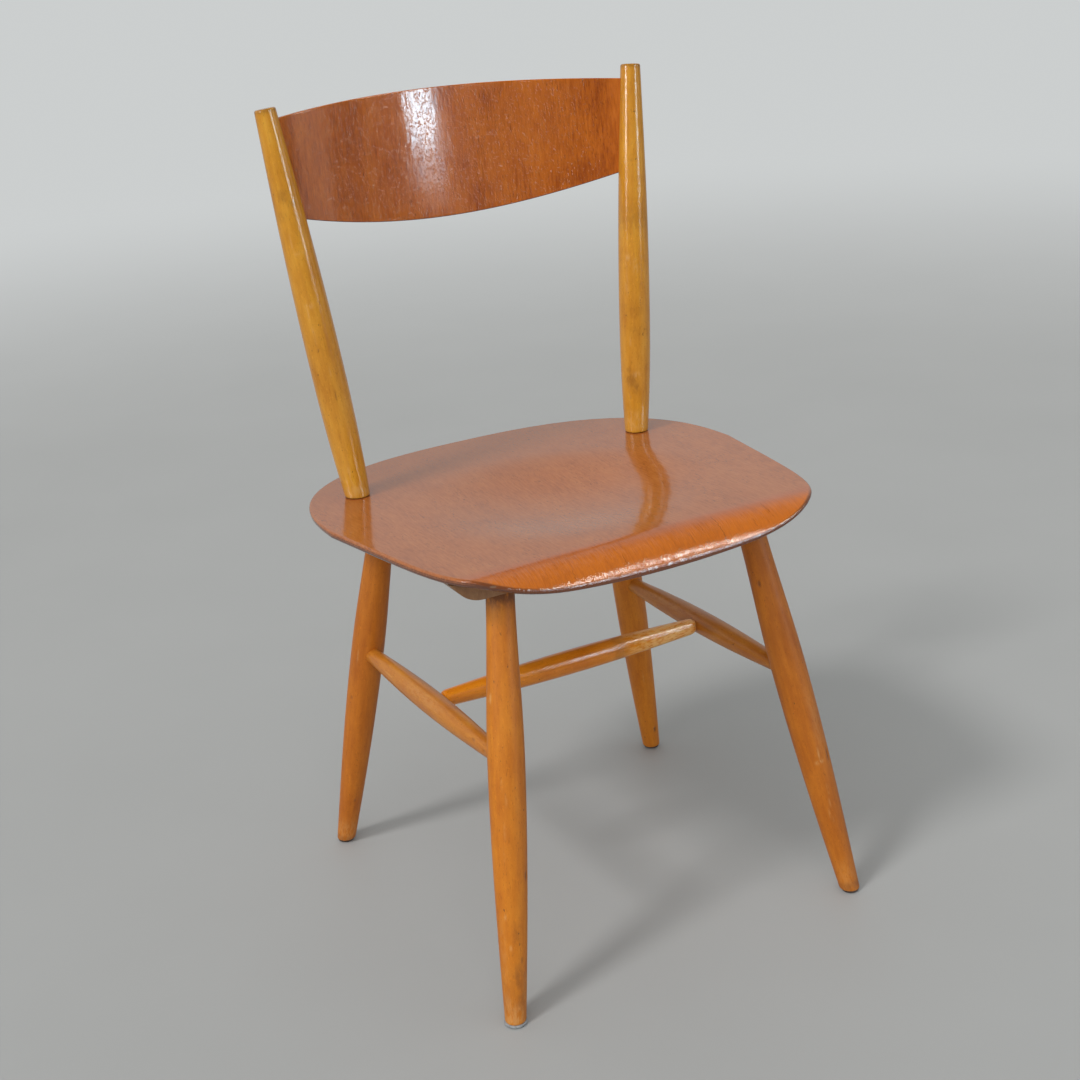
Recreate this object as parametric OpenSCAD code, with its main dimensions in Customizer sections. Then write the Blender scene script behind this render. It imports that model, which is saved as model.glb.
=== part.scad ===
// Dining chair: dished plywood seat, four splayed turned legs, H-shaped stretchers
// and a curved back panel held between two turned posts.
// Millimetres, +Z up, standing on Z = 0. The front faces -Y, and left is -X.

/* [Seat] */
// Width of the seat at its widest line
seat_w = 453; // [376:1:545]
// Depth of the seat from front edge to back edge
seat_d = 412.5; // [343:0.5:496]
// Height of the seat's top face where the posts stand
seat_h = 415; // [380:1:500]
// Thickness of the moulded plywood
seat_t = 8; // [7:0.5:11]
// Distance of the widest line from the back edge
seat_wide_inset = 183.5; // [140:0.5:200]
// How much narrower the outline gets towards the front edge
seat_taper = 0.158; // [0:0.001:0.2]
// Squareness of the rounded back corners
back_squareness = 2.6; // [2:0.1:4]
// Squareness of the rounded front corners
front_squareness = 6.6; // [2:0.1:8]
// Rise of the top face towards the front, per millimetre
seat_rise = 0.015; // [0:0.0005:0.04]
// Radius of the rolled front edge
roll_r = 43; // [41:1:60]
// Distance of the roll's start from the front edge
roll_len = 39.5; // [15:0.5:40]
// How much nearer to the front edge the roll starts at its ends
roll_bow = 11; // [0:0.5:15]
// Depth of the dish
dish_depth = 13; // [4:1:16]
// Flat margin beside the dish
dish_side_margin = 70; // [50:1:110]
// Flat margin in front of the dish
dish_front_margin = 46; // [40:1:110]
// Flat margin behind the dish
dish_back_margin = 94; // [70:1:130]
// Rounding of the upper edge
edge_round = 1.2; // [0.5:0.1:2]
// Height of the bevel under the edge
edge_bevel = 2; // [1:0.1:3]

/* [Cleats] */
// Height of a cleat below the seat at the legs
cleat_h = 20; // [13:1:30]
// Width of the front cleat
front_cleat_w = 38; // [30:1:55]
// Width of the rear cleat
rear_cleat_w = 50; // [42:1:70]
// Distance of the front legs' tops from the seat's front edge
front_leg_inset = 67.5; // [62:0.5:95]
// Distance of the rear legs' tops from the seat's back edge
rear_leg_inset = 89; // [75:1:110]
// Distance of a cleat's ends from the seat's outline
cleat_end_inset = 2.5; // [2:0.5:40]
// Length of the sloped end of a cleat
cleat_slope = 16; // [12:1:25]
// Radius of a cleat's rounded lower corners
cleat_corner_r = 30; // [5:1:35]
// Diameter of a cleat screw's shank
screw_d = 3.6; // [3:0.1:4.5]
// Distance of the inner screws from the middle
screw_inner_x = 48; // [30:1:60]
// Distance of the outer screws from the middle
screw_outer_x = 98; // [80:1:105]
// How far a screw enters the seat
screw_bite = 5; // [3:0.5:5]

/* [Legs] */
// Distance of the legs' tops from the seat's widest side
leg_side_inset = 93; // [80:1:105]
// Largest diameter of a leg
leg_d = 34; // [28:1:41]
// Diameter of a leg at the cleat
leg_top_d = 26; // [22:1:30]
// Diameter of a leg at the floor
leg_foot_d = 19.4; // [16:0.2:24]
// Height of the thickest place of a leg
leg_belly_h = 235; // [180:1:280]
// Sideways splay of a front leg
front_splay_x = 58.5; // [20:0.5:90]
// Forward splay of a front leg
front_splay_y = 79; // [30:1:100]
// Sideways splay of a rear leg
rear_splay_x = 61.5; // [20:0.5:90]
// Backward splay of a rear leg
rear_splay_y = 51; // [20:1:90]
// How far the loose rear legs are racked, left one back and right one forward
rear_rack = 7.7; // [0:0.1:10]
// Wood left between the end of a leg's socket and the seat
socket_cover = 0.7; // [0.5:0.1:3]

/* [Stretchers] */
// Height of the side stretchers at the front legs
stretcher_front_h = 236; // [150:1:260]
// Height of the side stretchers at the rear legs
stretcher_rear_h = 231; // [150:1:260]
// Largest diameter of a side stretcher
stretcher_d = 24.4; // [20:0.2:29]
// Diameter of a side stretcher's ends
stretcher_end_d = 16; // [12:0.5:18]
// Place of the cross stretcher along the side stretchers
cross_at = 0.498; // [0.4:0.001:0.6]
// Largest diameter of the cross stretcher
cross_d = 24.6; // [20:0.2:29]
// Diameter of the cross stretcher's rounded ends
cross_end_d = 17; // [14:0.5:20]
// Length of the rounding at the cross stretcher's ends
cross_round = 7; // [4:0.5:10]
// Diameter of the cross stretcher's tenons
cross_tenon_d = 11; // [8:0.5:12]

/* [Back] */
// Height of the post tops
overall_h = 791.5; // [700:0.5:950]
// Distance of the posts' feet from the seat's widest side
post_side_inset = 63.5; // [55:0.5:66]
// Distance of the posts' feet from the seat's back edge
post_back_inset = 100.4; // [95:0.2:108]
// Outward lean of a post over its height
post_spread = 35; // [0:1:60]
// Backward lean of a post over its height
post_lean = 34.6; // [0:0.1:70]
// Largest diameter of a post
post_d = 32.6; // [28:0.2:39]
// Diameter of a post at the seat
post_foot_d = 24.6; // [20:0.2:28]
// Diameter of a post at its top
post_top_d = 20.4; // [18:0.2:26]
// Height of the thickest place of a post above the seat
post_belly_h = 136; // [80:1:200]
// Rounding of a post's top edge
post_round = 2; // [1:0.5:4]
// Diameter of a post's tenon
post_tenon_d = 15; // [12:0.5:16]
// Thickness of the back panel
panel_t = 8; // [6:0.5:10]
// Height of the back panel at the posts
panel_end_h = 91; // [70:1:120]
// Distance of the panel's corners below the post tops
panel_below_top = 12; // [8:1:40]
// How far the panel is turned in the posts, left end up, in degrees
panel_skew = 0.5; // [0:0.1:1]
// Rise of the panel's upper edge in the middle
panel_crown = 12.5; // [0:0.5:30]
// Drop of the panel's lower edge in the middle
panel_belly = 23.5; // [0:0.5:40]
// Backward bow of the panel
panel_bow = 50; // [20:1:80]
// How far the panel's ends lie behind the posts' axes
panel_offset = 3; // [0:0.5:4]
// How far the panel's ends stop short of the posts' axes
panel_short = 4; // [3:0.5:6]

/* [Glides] */
// Diameter of the dark glides
glide_d = 17; // [12:0.5:20]
// Diameter of the replaced front left glide
grey_glide_d = 21; // [17:0.5:24]
// Thickness of a glide
glide_t = 3; // [2:0.5:6]
// Diameter of a glide's nail
nail_d = 2.6; // [2:0.1:4]
// Length of a glide's nail
nail_len = 16; // [8:1:25]

/* [Clearances] */
// Gap around a tenon, a screw or a nail
fit_gap = 0.1; // [0.05:0.05:0.3]
// Gap at the end of a tenon or a screw
end_gap = 0.5; // [0.2:0.1:1]
// Gap between a cleat and the seat
cleat_gap = 0.3; // [0.1:0.1:0.6]
// Gap under a post's shoulder, opened by wear
shoulder_gap = 0.7; // [0.2:0.1:1.5]

/* [Hidden] */

TEAK = [0.60, 0.27, 0.12];
BEECH = [0.80, 0.52, 0.18];
CLEAT_BEECH = [0.70, 0.55, 0.34];
STEEL = [0.60, 0.58, 0.54];
DARK = [0.20, 0.17, 0.15];
GREY = [0.52, 0.53, 0.54];

LEFT = -1;
RIGHT = 1;
FINE = 64;
PROFILE_STEPS = 20;
OUTLINE_STEPS = 72;
CORNER_CROWDING = 9;
PANEL_STEPS = 24;
CLEAT_STEPS = 24;
CORNER_STEPS = 10;
BIG = 2000;
// Turn of a turned shape's seam, which keeps it beside the sockets
SEAM_TURN = 70;
// How quickly a post swells above the seat
POST_SWELL = 2.4;
// Share of its radius over which the front edge rolls at most
ROLL_REACH = 0.98;

seat_front = -seat_d / 2;
seat_back = seat_d / 2;
seat_wide_y = seat_back - seat_wide_inset;
front_leg_y = seat_front + front_leg_inset;
rear_leg_y = seat_back - rear_leg_inset;
leg_x = seat_w / 2 - leg_side_inset;
post_x = seat_w / 2 - post_side_inset;
post_y = seat_back - post_back_inset;

// Shape of the seat's top face
dish_front = seat_front + dish_front_margin;
dish_back = seat_back - dish_back_margin;
dish_mid = (dish_front + dish_back) / 2;
dish_half_d = (dish_back - dish_front) / 2;
dish_half_w = seat_w / 2 - dish_side_margin;

function dish_at(x, y) =
    let (q = pow(x / dish_half_w, 2) + pow((y - dish_mid) / dish_half_d, 2))
    q < 1 ? dish_depth * pow(1 - q, 2) : 0;

// The front edge rolls down on an arc from a start line that bows forward at its ends
function roll_at(x, y) =
    let (start = seat_front + roll_len - roll_bow * pow(2 * x / seat_w, 2))
    let (d = min(max(0, start - y), ROLL_REACH * roll_r))
    roll_r - sqrt(roll_r * roll_r - d * d);

function seat_top(x, y) = seat_h + seat_rise * (post_y - y) - roll_at(x, y) - dish_at(x, y);

// Downward normal of the top face
function seat_down(x, y) =
    let (step = 0.1)
    let (sx = (seat_top(x + step, y) - seat_top(x - step, y)) / (2 * step))
    let (sy = (seat_top(x, y + step) - seat_top(x, y - step)) / (2 * step))
    unit([sx, sy, -1]);

// Point at a depth below the top face, along its normal
function seat_point(x, y, depth) = [x, y, seat_top(x, y)] + depth * seat_down(x, y);

// Height of the underside where the seat is nearly level
function seat_under(x, y) = seat_top(x, y) + seat_t / seat_down(x, y)[2];

// Outline: a superellipse in two halves that tapers towards the front
function outline_at(a) =
    let (back = sin(a) > 0)
    let (n = back ? back_squareness : front_squareness)
    let (half = back ? seat_back - seat_wide_y : seat_wide_y - seat_front)
    let (r = pow(pow(abs(cos(a)), n) + pow(abs(sin(a)), n), -1 / n))
    let (y = seat_wide_y + half * r * sin(a))
    let (narrow = back ? 1 : 1 - seat_taper * (seat_wide_y - y) / half)
    [seat_w / 2 * r * cos(a) * narrow, y];

// Half the width of the seat at one place along its depth
function half_width_at(y) =
    let (back = y > seat_wide_y)
    let (n = back ? back_squareness : front_squareness)
    let (half = back ? seat_back - seat_wide_y : seat_wide_y - seat_front)
    let (v = abs(y - seat_wide_y) / half)
    let (narrow = back ? 1 : 1 - seat_taper * v)
    seat_w / 2 * pow(1 - pow(v, n), 1 / n) * narrow;

// Cleats
rear_cleat_y = (rear_leg_y + post_y) / 2;
front_cleat_z = seat_under(leg_x, front_leg_y) - cleat_gap - cleat_h;
rear_cleat_z = seat_under(leg_x, rear_leg_y) - cleat_gap - cleat_h;
screw_places = [-screw_outer_x, -screw_inner_x, screw_inner_x, screw_outer_x];
screw_head_d = 2 * screw_d;
screw_head_h = screw_d;
slot_w = 1;
slot_deep = 1.2;
cleat_ends = half_width_at(front_leg_y - front_cleat_w / 2) - cleat_end_inset;

// Legs, from the floor to the underside of the cleats
function leg_foot(side, front) = front
    ? [side * (leg_x + front_splay_x), front_leg_y - front_splay_y, 0]
    : [side * (leg_x + rear_splay_x), rear_leg_y + rear_splay_y - side * rear_rack, 0];
function leg_head(side, front) = front
    ? [side * leg_x, front_leg_y, front_cleat_z]
    : [side * leg_x, rear_leg_y, rear_cleat_z];
function leg_at(side, front, z) =
    let (a = leg_foot(side, front))
    let (b = leg_head(side, front))
    a + (b - a) * z / b[2];

// How deep a leg's plain upper end may go into its cleat
function leg_tenon(side, front) =
    let (up = unit(leg_head(side, front) - leg_foot(side, front)))
    let (rim = (leg_top_d / 2 + fit_gap) * norm([up[0], up[1]]))
    (cleat_h - socket_cover - rim) / up[2] - end_gap;

// Stretchers, from leg axis to leg axis
function rail_front(side) = leg_at(side, true, stretcher_front_h);
function rail_rear(side) = leg_at(side, false, stretcher_rear_h);
function rail_mid(side) = rail_front(side) + (rail_rear(side) - rail_front(side)) * cross_at;
// Distance of a stretcher's end from the axis of the piece that it enters
rail_inset = 4;
cross_inset = 3;
// Length of a side stretcher that is plain outside the leg
rail_plain = 3;

// Posts and back panel
post_foot = [post_x, post_y, seat_h];
post_head = [post_x + post_spread, post_y + post_lean, overall_h];
back_tilt = atan(post_lean / (overall_h - seat_h));
spread_slope = post_spread / (overall_h - seat_h) * cos(back_tilt);
panel_top = (overall_h - panel_below_top - seat_h) / cos(back_tilt);
panel_low = panel_top - panel_end_h / cos(back_tilt);
panel_chord = post_x + spread_slope * (panel_top + panel_low) / 2;
panel_r = (panel_chord * panel_chord + panel_bow * panel_bow) / (2 * panel_bow);
// Wood left under the end of a post's tenon
post_tenon_cover = 4;
post_tenon_end_z = rear_cleat_z + post_tenon_cover;

// The floor outline is centred on the origin from front foot to seat back
front_reach = leg_foot(LEFT, true)[1] - grey_glide_d / 2;
centre_y = (front_reach + seat_back) / 2;

function mirrored(p, side) = [side * p[0], p[1], p[2]];
function unit(v) = v / norm(v);

// Points of an arc that rounds the corner p between its neighbours a and b
function rounded_corner(a, p, b, r) =
    let (to_a = unit(a - p))
    let (to_b = unit(b - p))
    let (half = acos(to_a * to_b) / 2)
    let (centre = p + unit(to_a + to_b) * r / sin(half))
    let (first = p + to_a * r / tan(half) - centre)
    let (from = atan2(first[1], first[0]))
    let (turn = (180 - 2 * half) * sign(to_a[0] * to_b[1] - to_a[1] * to_b[0]))
    [for (i = [0:CORNER_STEPS])
        let (angle = from - turn * i / CORNER_STEPS)
        centre + r * [cos(angle), sin(angle)]];

// Moves the chair's frame so that its outline is centred
module placed() {
    translate([0, -centre_y, 0]) children();
}

// Lays something drawn up the Z axis along the line from a to b. The turn about
// the line puts the seam of a turned shape beside its sockets.
module along(a, b) {
    d = b - a;
    translate(a) rotate([0, acos(d[2] / norm(d)), atan2(d[1], d[0])])
        rotate([0, 0, SEAM_TURN]) children();
}

// Round bar from a to b
module bar(a, b, d) {
    along(a, b) cylinder(h = norm(b - a), d = d, $fn = FINE);
}

// Turned shape: radii is a list of [radius, height], from bottom to top
module turned(radii) {
    last = len(radii) - 1;
    rotate_extrude($fn = FINE)
        polygon(concat([[0, radii[0][1]]], radii, [[0, radii[last][1]]]));
}

// Everything between two heights
module between(low, high) {
    translate([-BIG / 2, -BIG / 2, low]) cube([BIG, BIG, high - low]);
}

// ---- Seat ----

module seat_blank() {
    reach = seat_w / 2;
    inner = concat([for (j = [1:8]) 0.1 * j], [0.87, 0.9, 0.93, 0.955, 0.975]);
    top_rim = 1 - edge_round / reach;
    low_rim = 1 - 2 * edge_bevel / reach;
    // Each ring: share of the outline, and depth below the top face
    rings = concat(
        [for (f = inner) [f, 0]],
        [[top_rim, 0], [1, edge_round], [1, seat_t - edge_bevel], [low_rim, seat_t]],
        [for (j = [len(inner) - 1:-1:0]) [inner[j], seat_t]]);
    // The angles crowd towards the corners
    angles = [for (i = [0:OUTLINE_STEPS - 1])
        let (a = i * 360 / OUTLINE_STEPS)
        a + CORNER_CROWDING * sin(4 * a)];
    points = concat(
        [seat_point(0, seat_wide_y, 0)],
        [for (ring = rings) for (a = angles)
            let (p = outline_at(a))
            seat_point(p[0] * ring[0], seat_wide_y + (p[1] - seat_wide_y) * ring[0], ring[1])],
        [seat_point(0, seat_wide_y, seat_t)]);
    n = OUTLINE_STEPS;
    last = len(points) - 1;
    faces = concat(
        [for (i = [0:n - 1]) [0, 1 + (i + 1) % n, 1 + i]],
        [for (j = [0:len(rings) - 2]) for (i = [0:n - 1])
            [1 + j * n + i, 1 + j * n + (i + 1) % n, 1 + (j + 1) * n + (i + 1) % n]],
        [for (j = [0:len(rings) - 2]) for (i = [0:n - 1])
            [1 + j * n + i, 1 + (j + 1) * n + (i + 1) % n, 1 + (j + 1) * n + i]],
        [for (i = [0:n - 1]) [last, last - n + i, last - n + (i + 1) % n]]);
    polyhedron(points = points, faces = faces);
}

module seat() {
    color(TEAK) placed() difference() {
        seat_blank();
        for (side = [LEFT, RIGHT]) post_socket(side);
        for (x = screw_places) {
            screw_hole(x, front_leg_y, front_cleat_z);
            screw_hole(x, rear_cleat_y, rear_cleat_z);
        }
    }
}

// ---- Cleats and their screws ----

// A cleat's top follows the underside of the seat, at the lowest place over its width
module cleat_blank(y, w, z, ends) {
    across = [for (k = [-4:4]) y + w / 2 * k / 4];
    tops = [for (i = [0:CLEAT_STEPS])
        let (x = ends * (2 * i / CLEAT_STEPS - 1))
        [x, min([for (v = across) seat_under(x, v)]) - cleat_gap]];
    last = len(tops) - 1;
    corners = [[ends - cleat_slope, z], [cleat_slope - ends, z]];
    bottom = concat(
        rounded_corner(tops[last], corners[0], corners[1], cleat_corner_r),
        rounded_corner(corners[0], corners[1], tops[0], cleat_corner_r));
    translate([0, y + w / 2, 0]) rotate([90, 0, 0])
        linear_extrude(height = w) polygon(concat(bottom, tops));
}

// Screws drive upwards from the underside of a cleat into the seat
module screw_shape(x, y, z, gap, end) {
    tip = seat_under(x, y) + screw_bite + end - z;
    translate([x, y, z]) turned([[screw_head_d / 2 + gap, -end], [screw_head_d / 2 + gap, 0],
        [screw_d / 2 + gap, screw_head_h], [screw_d / 2 + gap, tip]]);
}

module screw_hole(x, y, z) {
    screw_shape(x, y, z, fit_gap, end_gap);
}

module screw(x, y, z) {
    difference() {
        screw_shape(x, y, z, 0, 0);
        translate([x - screw_head_d, y - slot_w / 2, z - slot_deep])
            cube([2 * screw_head_d, slot_w, 2 * slot_deep]);
    }
}

module front_cleat() {
    color(CLEAT_BEECH) placed() difference() {
        cleat_blank(front_leg_y, front_cleat_w, front_cleat_z, cleat_ends);
        for (side = [LEFT, RIGHT]) leg_socket(side, true);
        for (x = screw_places) screw_hole(x, front_leg_y, front_cleat_z);
    }
}

module rear_cleat() {
    color(CLEAT_BEECH) placed() difference() {
        cleat_blank(rear_cleat_y, rear_cleat_w, rear_cleat_z, cleat_ends);
        for (side = [LEFT, RIGHT]) leg_socket(side, false);
        for (side = [LEFT, RIGHT]) post_socket(side);
        for (x = screw_places) screw_hole(x, rear_cleat_y, rear_cleat_z);
    }
}

module front_cleat_screws() {
    color(STEEL) placed() for (x = screw_places) screw(x, front_leg_y, front_cleat_z);
}

module rear_cleat_screws() {
    color(STEEL) placed() for (x = screw_places) screw(x, rear_cleat_y, rear_cleat_z);
}

// ---- Legs and glides ----

// Cigar-shaped profile: a foot long enough to cut level, and a plain end for the cleat
function leg_profile(length, tenon) =
    let (belly = length * leg_belly_h / front_cleat_z)
    concat(
        [[leg_foot_d / 2, -leg_foot_d]],
        [for (i = [0:PROFILE_STEPS])
            let (s = i / PROFILE_STEPS)
            [(leg_foot_d + (leg_d - leg_foot_d) * sin(90 * s)) / 2, belly * s]],
        [for (i = [1:PROFILE_STEPS])
            let (s = i / PROFILE_STEPS)
            [(leg_top_d + (leg_d - leg_top_d) * (1 + cos(180 * s)) / 2) / 2,
                belly + (length - belly) * s]],
        [[leg_top_d / 2, length + tenon]]);

module leg(side, front) {
    foot = leg_foot(side, front);
    head = leg_head(side, front);
    color(BEECH) placed() difference() {
        along(foot, head)
            turned(leg_profile(norm(head - foot), leg_tenon(side, front)));
        between(-BIG / 2, glide_t);
        translate(foot) glide_shape(leg_foot_d, fit_gap, end_gap);
        rail_socket(side, front);
    }
}

module leg_socket(side, front) {
    foot = leg_foot(side, front);
    head = leg_head(side, front);
    up = unit(head - foot);
    deep = leg_tenon(side, front) + end_gap;
    bar(head - leg_top_d * up, head + deep * up, leg_top_d + 2 * fit_gap);
}

// Disc and nail in one piece
module glide_shape(d, gap, end) {
    turned([[d / 2, 0], [d / 2, glide_t - fit_gap], [nail_d / 2 + gap, glide_t - fit_gap],
        [nail_d / 2 + gap, glide_t + nail_len + end]]);
}

module glide(side, front, d, shade) {
    color(shade) placed() translate(leg_foot(side, front)) glide_shape(d, 0, 0);
}

// ---- Stretchers ----

function rail_end(side, front) =
    let (a = rail_front(side))
    let (b = rail_rear(side))
    front ? a + unit(b - a) * rail_inset : b + unit(a - b) * rail_inset;

module rail_socket(side, front) {
    a = rail_end(side, front);
    way = unit(rail_end(side, !front) - a);
    bar(a - end_gap * way, a + leg_d * way, stretcher_end_d + 2 * fit_gap);
}

// Barrel-shaped profile, thickest in the middle
function barrel(length, end_d, mid_d) =
    [for (i = [0:PROFILE_STEPS])
        let (s = i / PROFILE_STEPS)
        [(end_d + (mid_d - end_d) * sin(180 * s)) / 2, length * s]];

module side_stretcher(side) {
    a = rail_end(side, true);
    b = rail_end(side, false);
    // Plain ends run in the sockets, and the barrel lies between the legs
    plain = leg_d / 2 - rail_inset + rail_plain;
    length = norm(b - a);
    profile = concat(
        [[stretcher_end_d / 2, 0]],
        [for (p = barrel(length - 2 * plain, stretcher_end_d, stretcher_d)) [p[0], p[1] + plain]],
        [[stretcher_end_d / 2, length]]);
    color(BEECH) placed() difference() {
        along(a, b) turned(profile);
        cross_socket(side);
    }
}

module cross_socket(side) {
    mid = rail_mid(side);
    way = unit(rail_mid(-side) - mid);
    bar(mid + (cross_inset - end_gap) * way, mid + stretcher_d * way, cross_tenon_d + 2 * fit_gap);
}

module cross_stretcher() {
    a = rail_mid(LEFT);
    b = rail_mid(RIGHT);
    way = unit(b - a);
    start = stretcher_d / 2 + fit_gap;
    length = norm(b - a) - 2 * start;
    body = barrel(length - 2 * cross_round, cross_end_d, cross_d);
    turn_in = [for (i = [0:5])
        let (s = 90 * i / 5)
        [cross_tenon_d / 2 + (cross_end_d - cross_tenon_d) / 2 * sin(s),
            cross_round * (1 - cos(s))]];
    last = len(turn_in) - 1;
    tenon = start - cross_inset;
    profile = concat(
        [[cross_tenon_d / 2, -tenon]],
        turn_in,
        [for (i = [1:PROFILE_STEPS - 1]) [body[i][0], body[i][1] + cross_round]],
        [for (i = [last:-1:0]) [turn_in[i][0], length - turn_in[i][1]]],
        [[cross_tenon_d / 2, length + tenon]]);
    color(BEECH) placed() along(a + start * way, b) turned(profile);
}

// ---- Back ----

function post_profile(length) =
    let (belly = post_belly_h)
    concat(
        [[post_foot_d / 2, -post_foot_d], [post_foot_d / 2, 0]],
        [for (i = [1:PROFILE_STEPS])
            let (s = i / PROFILE_STEPS)
            [(post_foot_d + (post_d - post_foot_d) * (1 - pow(1 - s, POST_SWELL))) / 2, belly * s]],
        [for (i = [1:PROFILE_STEPS])
            let (s = i / PROFILE_STEPS)
            [(post_top_d + (post_d - post_top_d) * cos(90 * s)) / 2,
                belly + (length - post_round - belly) * s]],
        [for (a = [30:30:90])
            [post_top_d / 2 - post_round * (1 - cos(a)), length - post_round * (1 - sin(a))]]);

// The shoulder rests on the highest place of the seat under the post
function shoulder_z() = max([for (a = [0:30:330])
    seat_top(post_x + post_foot_d / 2 * cos(a), post_y + post_foot_d / 2 * sin(a))]);

module post(side) {
    foot = mirrored(post_foot, side);
    head = mirrored(post_head, side);
    color(BEECH) placed() difference() {
        union() {
            intersection() {
                along(foot, head) turned(post_profile(norm(head - foot)));
                between(shoulder_z() + shoulder_gap, overall_h + BIG);
            }
            post_tenon(side, 0, 0);
        }
        panel_shape(fit_gap);
    }
}

module post_tenon(side, gap, end) {
    foot = mirrored(post_foot, side);
    head = mirrored(post_head, side);
    up = unit(head - foot);
    low = foot + up * (post_tenon_end_z - seat_h - end) / up[2];
    bar(low, foot + post_tenon_d * up, post_tenon_d + 2 * gap);
}

module post_socket(side) {
    post_tenon(side, fit_gap, end_gap);
}

// Edge of the panel's outline at u = -1 (left end) to 1 (right end)
function panel_edge(u, end_z, rise, gap) =
    let (z = end_z + rise * (1 - u * u))
    let (x = post_x + spread_slope * z - panel_short + gap)
    [u * x, z];

// The panel stands in the leaning plane of the posts and bows backwards
module panel_shape(gap) {
    steps = [for (i = [0:PANEL_STEPS]) 2 * i / PANEL_STEPS - 1];
    outline = concat(
        [for (u = steps) panel_edge(u, panel_low - gap, -panel_belly, gap)],
        [for (u = steps) panel_edge(-u, panel_top + gap, panel_crown, gap)]);
    inner_r = panel_r - panel_t / 2 - gap;
    outer_r = panel_r + panel_t / 2 + gap;
    centre = panel_offset + panel_bow - panel_r;
    tall = 2 * (overall_h - seat_h);
    middle = (panel_top + panel_low) / 2;
    translate([0, post_y, seat_h]) rotate([-back_tilt, 0, 0])
        translate([0, 0, middle]) rotate([0, panel_skew, 0]) translate([0, 0, -middle])
            intersection() {
                translate([0, centre, 0]) difference() {
                    cylinder(h = tall, r = outer_r, $fn = 4 * FINE);
                    translate([0, 0, -1]) cylinder(h = tall + 2, r = inner_r, $fn = 4 * FINE);
                }
                translate([0, 2 * panel_bow, 0]) rotate([90, 0, 0])
                    linear_extrude(height = 4 * panel_bow) polygon(outline);
            }
}

module back_panel() {
    color(TEAK) placed() panel_shape(0);
}

seat();
front_cleat();
rear_cleat();
front_cleat_screws();
rear_cleat_screws();
leg(LEFT, true);  // front_left_leg
leg(RIGHT, true);  // front_right_leg
leg(LEFT, false);  // rear_left_leg
leg(RIGHT, false);  // rear_right_leg
side_stretcher(LEFT);  // left_side_stretcher
side_stretcher(RIGHT);  // right_side_stretcher
cross_stretcher();
post(LEFT);  // left_back_post
post(RIGHT);  // right_back_post
back_panel();
glide(LEFT, true, grey_glide_d, GREY);  // front_left_glide
glide(RIGHT, true, glide_d, DARK);  // front_right_glide
glide(LEFT, false, glide_d, DARK);  // rear_left_glide
glide(RIGHT, false, glide_d, DARK);  // rear_right_glide
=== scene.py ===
"""Looks of the worn wooden chair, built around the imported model.

Shapes are worked out in millimetres in the chair's own frame, whose y = 0 is the seat's
mid-depth, and mesh_object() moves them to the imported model's frame in metres.
"""

import math

import bmesh
import bpy
import numpy as np
from mathutils import Matrix, Vector


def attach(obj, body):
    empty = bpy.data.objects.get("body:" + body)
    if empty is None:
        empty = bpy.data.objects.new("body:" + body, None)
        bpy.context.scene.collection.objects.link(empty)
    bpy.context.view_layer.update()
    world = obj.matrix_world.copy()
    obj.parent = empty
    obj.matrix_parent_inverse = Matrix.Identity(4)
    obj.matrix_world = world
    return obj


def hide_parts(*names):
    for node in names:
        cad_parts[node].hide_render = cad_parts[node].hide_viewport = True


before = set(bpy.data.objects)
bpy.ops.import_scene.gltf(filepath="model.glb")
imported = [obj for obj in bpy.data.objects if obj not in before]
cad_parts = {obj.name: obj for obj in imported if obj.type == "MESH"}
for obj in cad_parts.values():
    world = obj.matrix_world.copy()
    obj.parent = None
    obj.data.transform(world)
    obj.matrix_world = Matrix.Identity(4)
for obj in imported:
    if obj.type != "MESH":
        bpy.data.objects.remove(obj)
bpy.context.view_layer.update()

MM = 0.001
LEFT, RIGHT = -1, 1
UP = np.array([0.0, 0.0, 1.0])
FRONT = np.array([0.0, -1.0, 0.0])

# ---- Driving sizes, as in the CAD model, in millimetres ----

SEAT_W, SEAT_D, SEAT_H, SEAT_T = 453.0, 412.5, 415.0, 8.0
SEAT_WIDE_INSET, SEAT_TAPER, SEAT_RISE = 183.5, 0.158, 0.015
BACK_SQUARENESS, FRONT_SQUARENESS = 2.6, 6.6
ROLL_R, ROLL_LEN, ROLL_BOW = 43.0, 39.5, 11.0
DISH_DEPTH, DISH_SIDE, DISH_FRONT, DISH_BACK = 13.0, 70.0, 46.0, 94.0
CLEAT_H, CLEAT_GAP = 20.0, 0.3
FRONT_LEG_INSET, REAR_LEG_INSET, LEG_SIDE_INSET = 67.5, 89.0, 93.0
LEG_D, LEG_TOP_D, LEG_FOOT_D, LEG_BELLY_H = 34.0, 26.0, 19.4, 235.0
FRONT_SPLAY = (58.5, 79.0)
REAR_SPLAY = (61.5, 51.0)
REAR_RACK = 7.7
LEG_TENON = 15.0
RAIL_FRONT_H, RAIL_REAR_H, RAIL_D, RAIL_END_D, RAIL_INSET = 236.0, 231.0, 24.4, 16.0, 4.0
CROSS_AT, CROSS_D, CROSS_END_D, CROSS_ROUND = 0.498, 24.6, 17.0, 7.0
CROSS_TENON_D, CROSS_INSET = 11.0, 3.0
POST_H, POST_SIDE_INSET, POST_BACK_INSET = 791.5, 63.5, 100.4
POST_SPREAD, POST_LEAN = 35.0, 34.6
POST_D, POST_FOOT_D, POST_TOP_D, POST_BELLY_H = 32.6, 24.6, 20.4, 136.0
POST_ROUND, POST_TENON_D, SHOULDER_GAP = 2.0, 15.0, 0.7
PANEL_T, PANEL_END_H, PANEL_BELOW_TOP, PANEL_SKEW = 8.0, 91.0, 12.0, 0.5
PANEL_CROWN, PANEL_BELLY, PANEL_BOW = 12.5, 23.5, 50.0
PANEL_OFFSET, PANEL_SHORT = 3.0, 4.0
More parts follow.
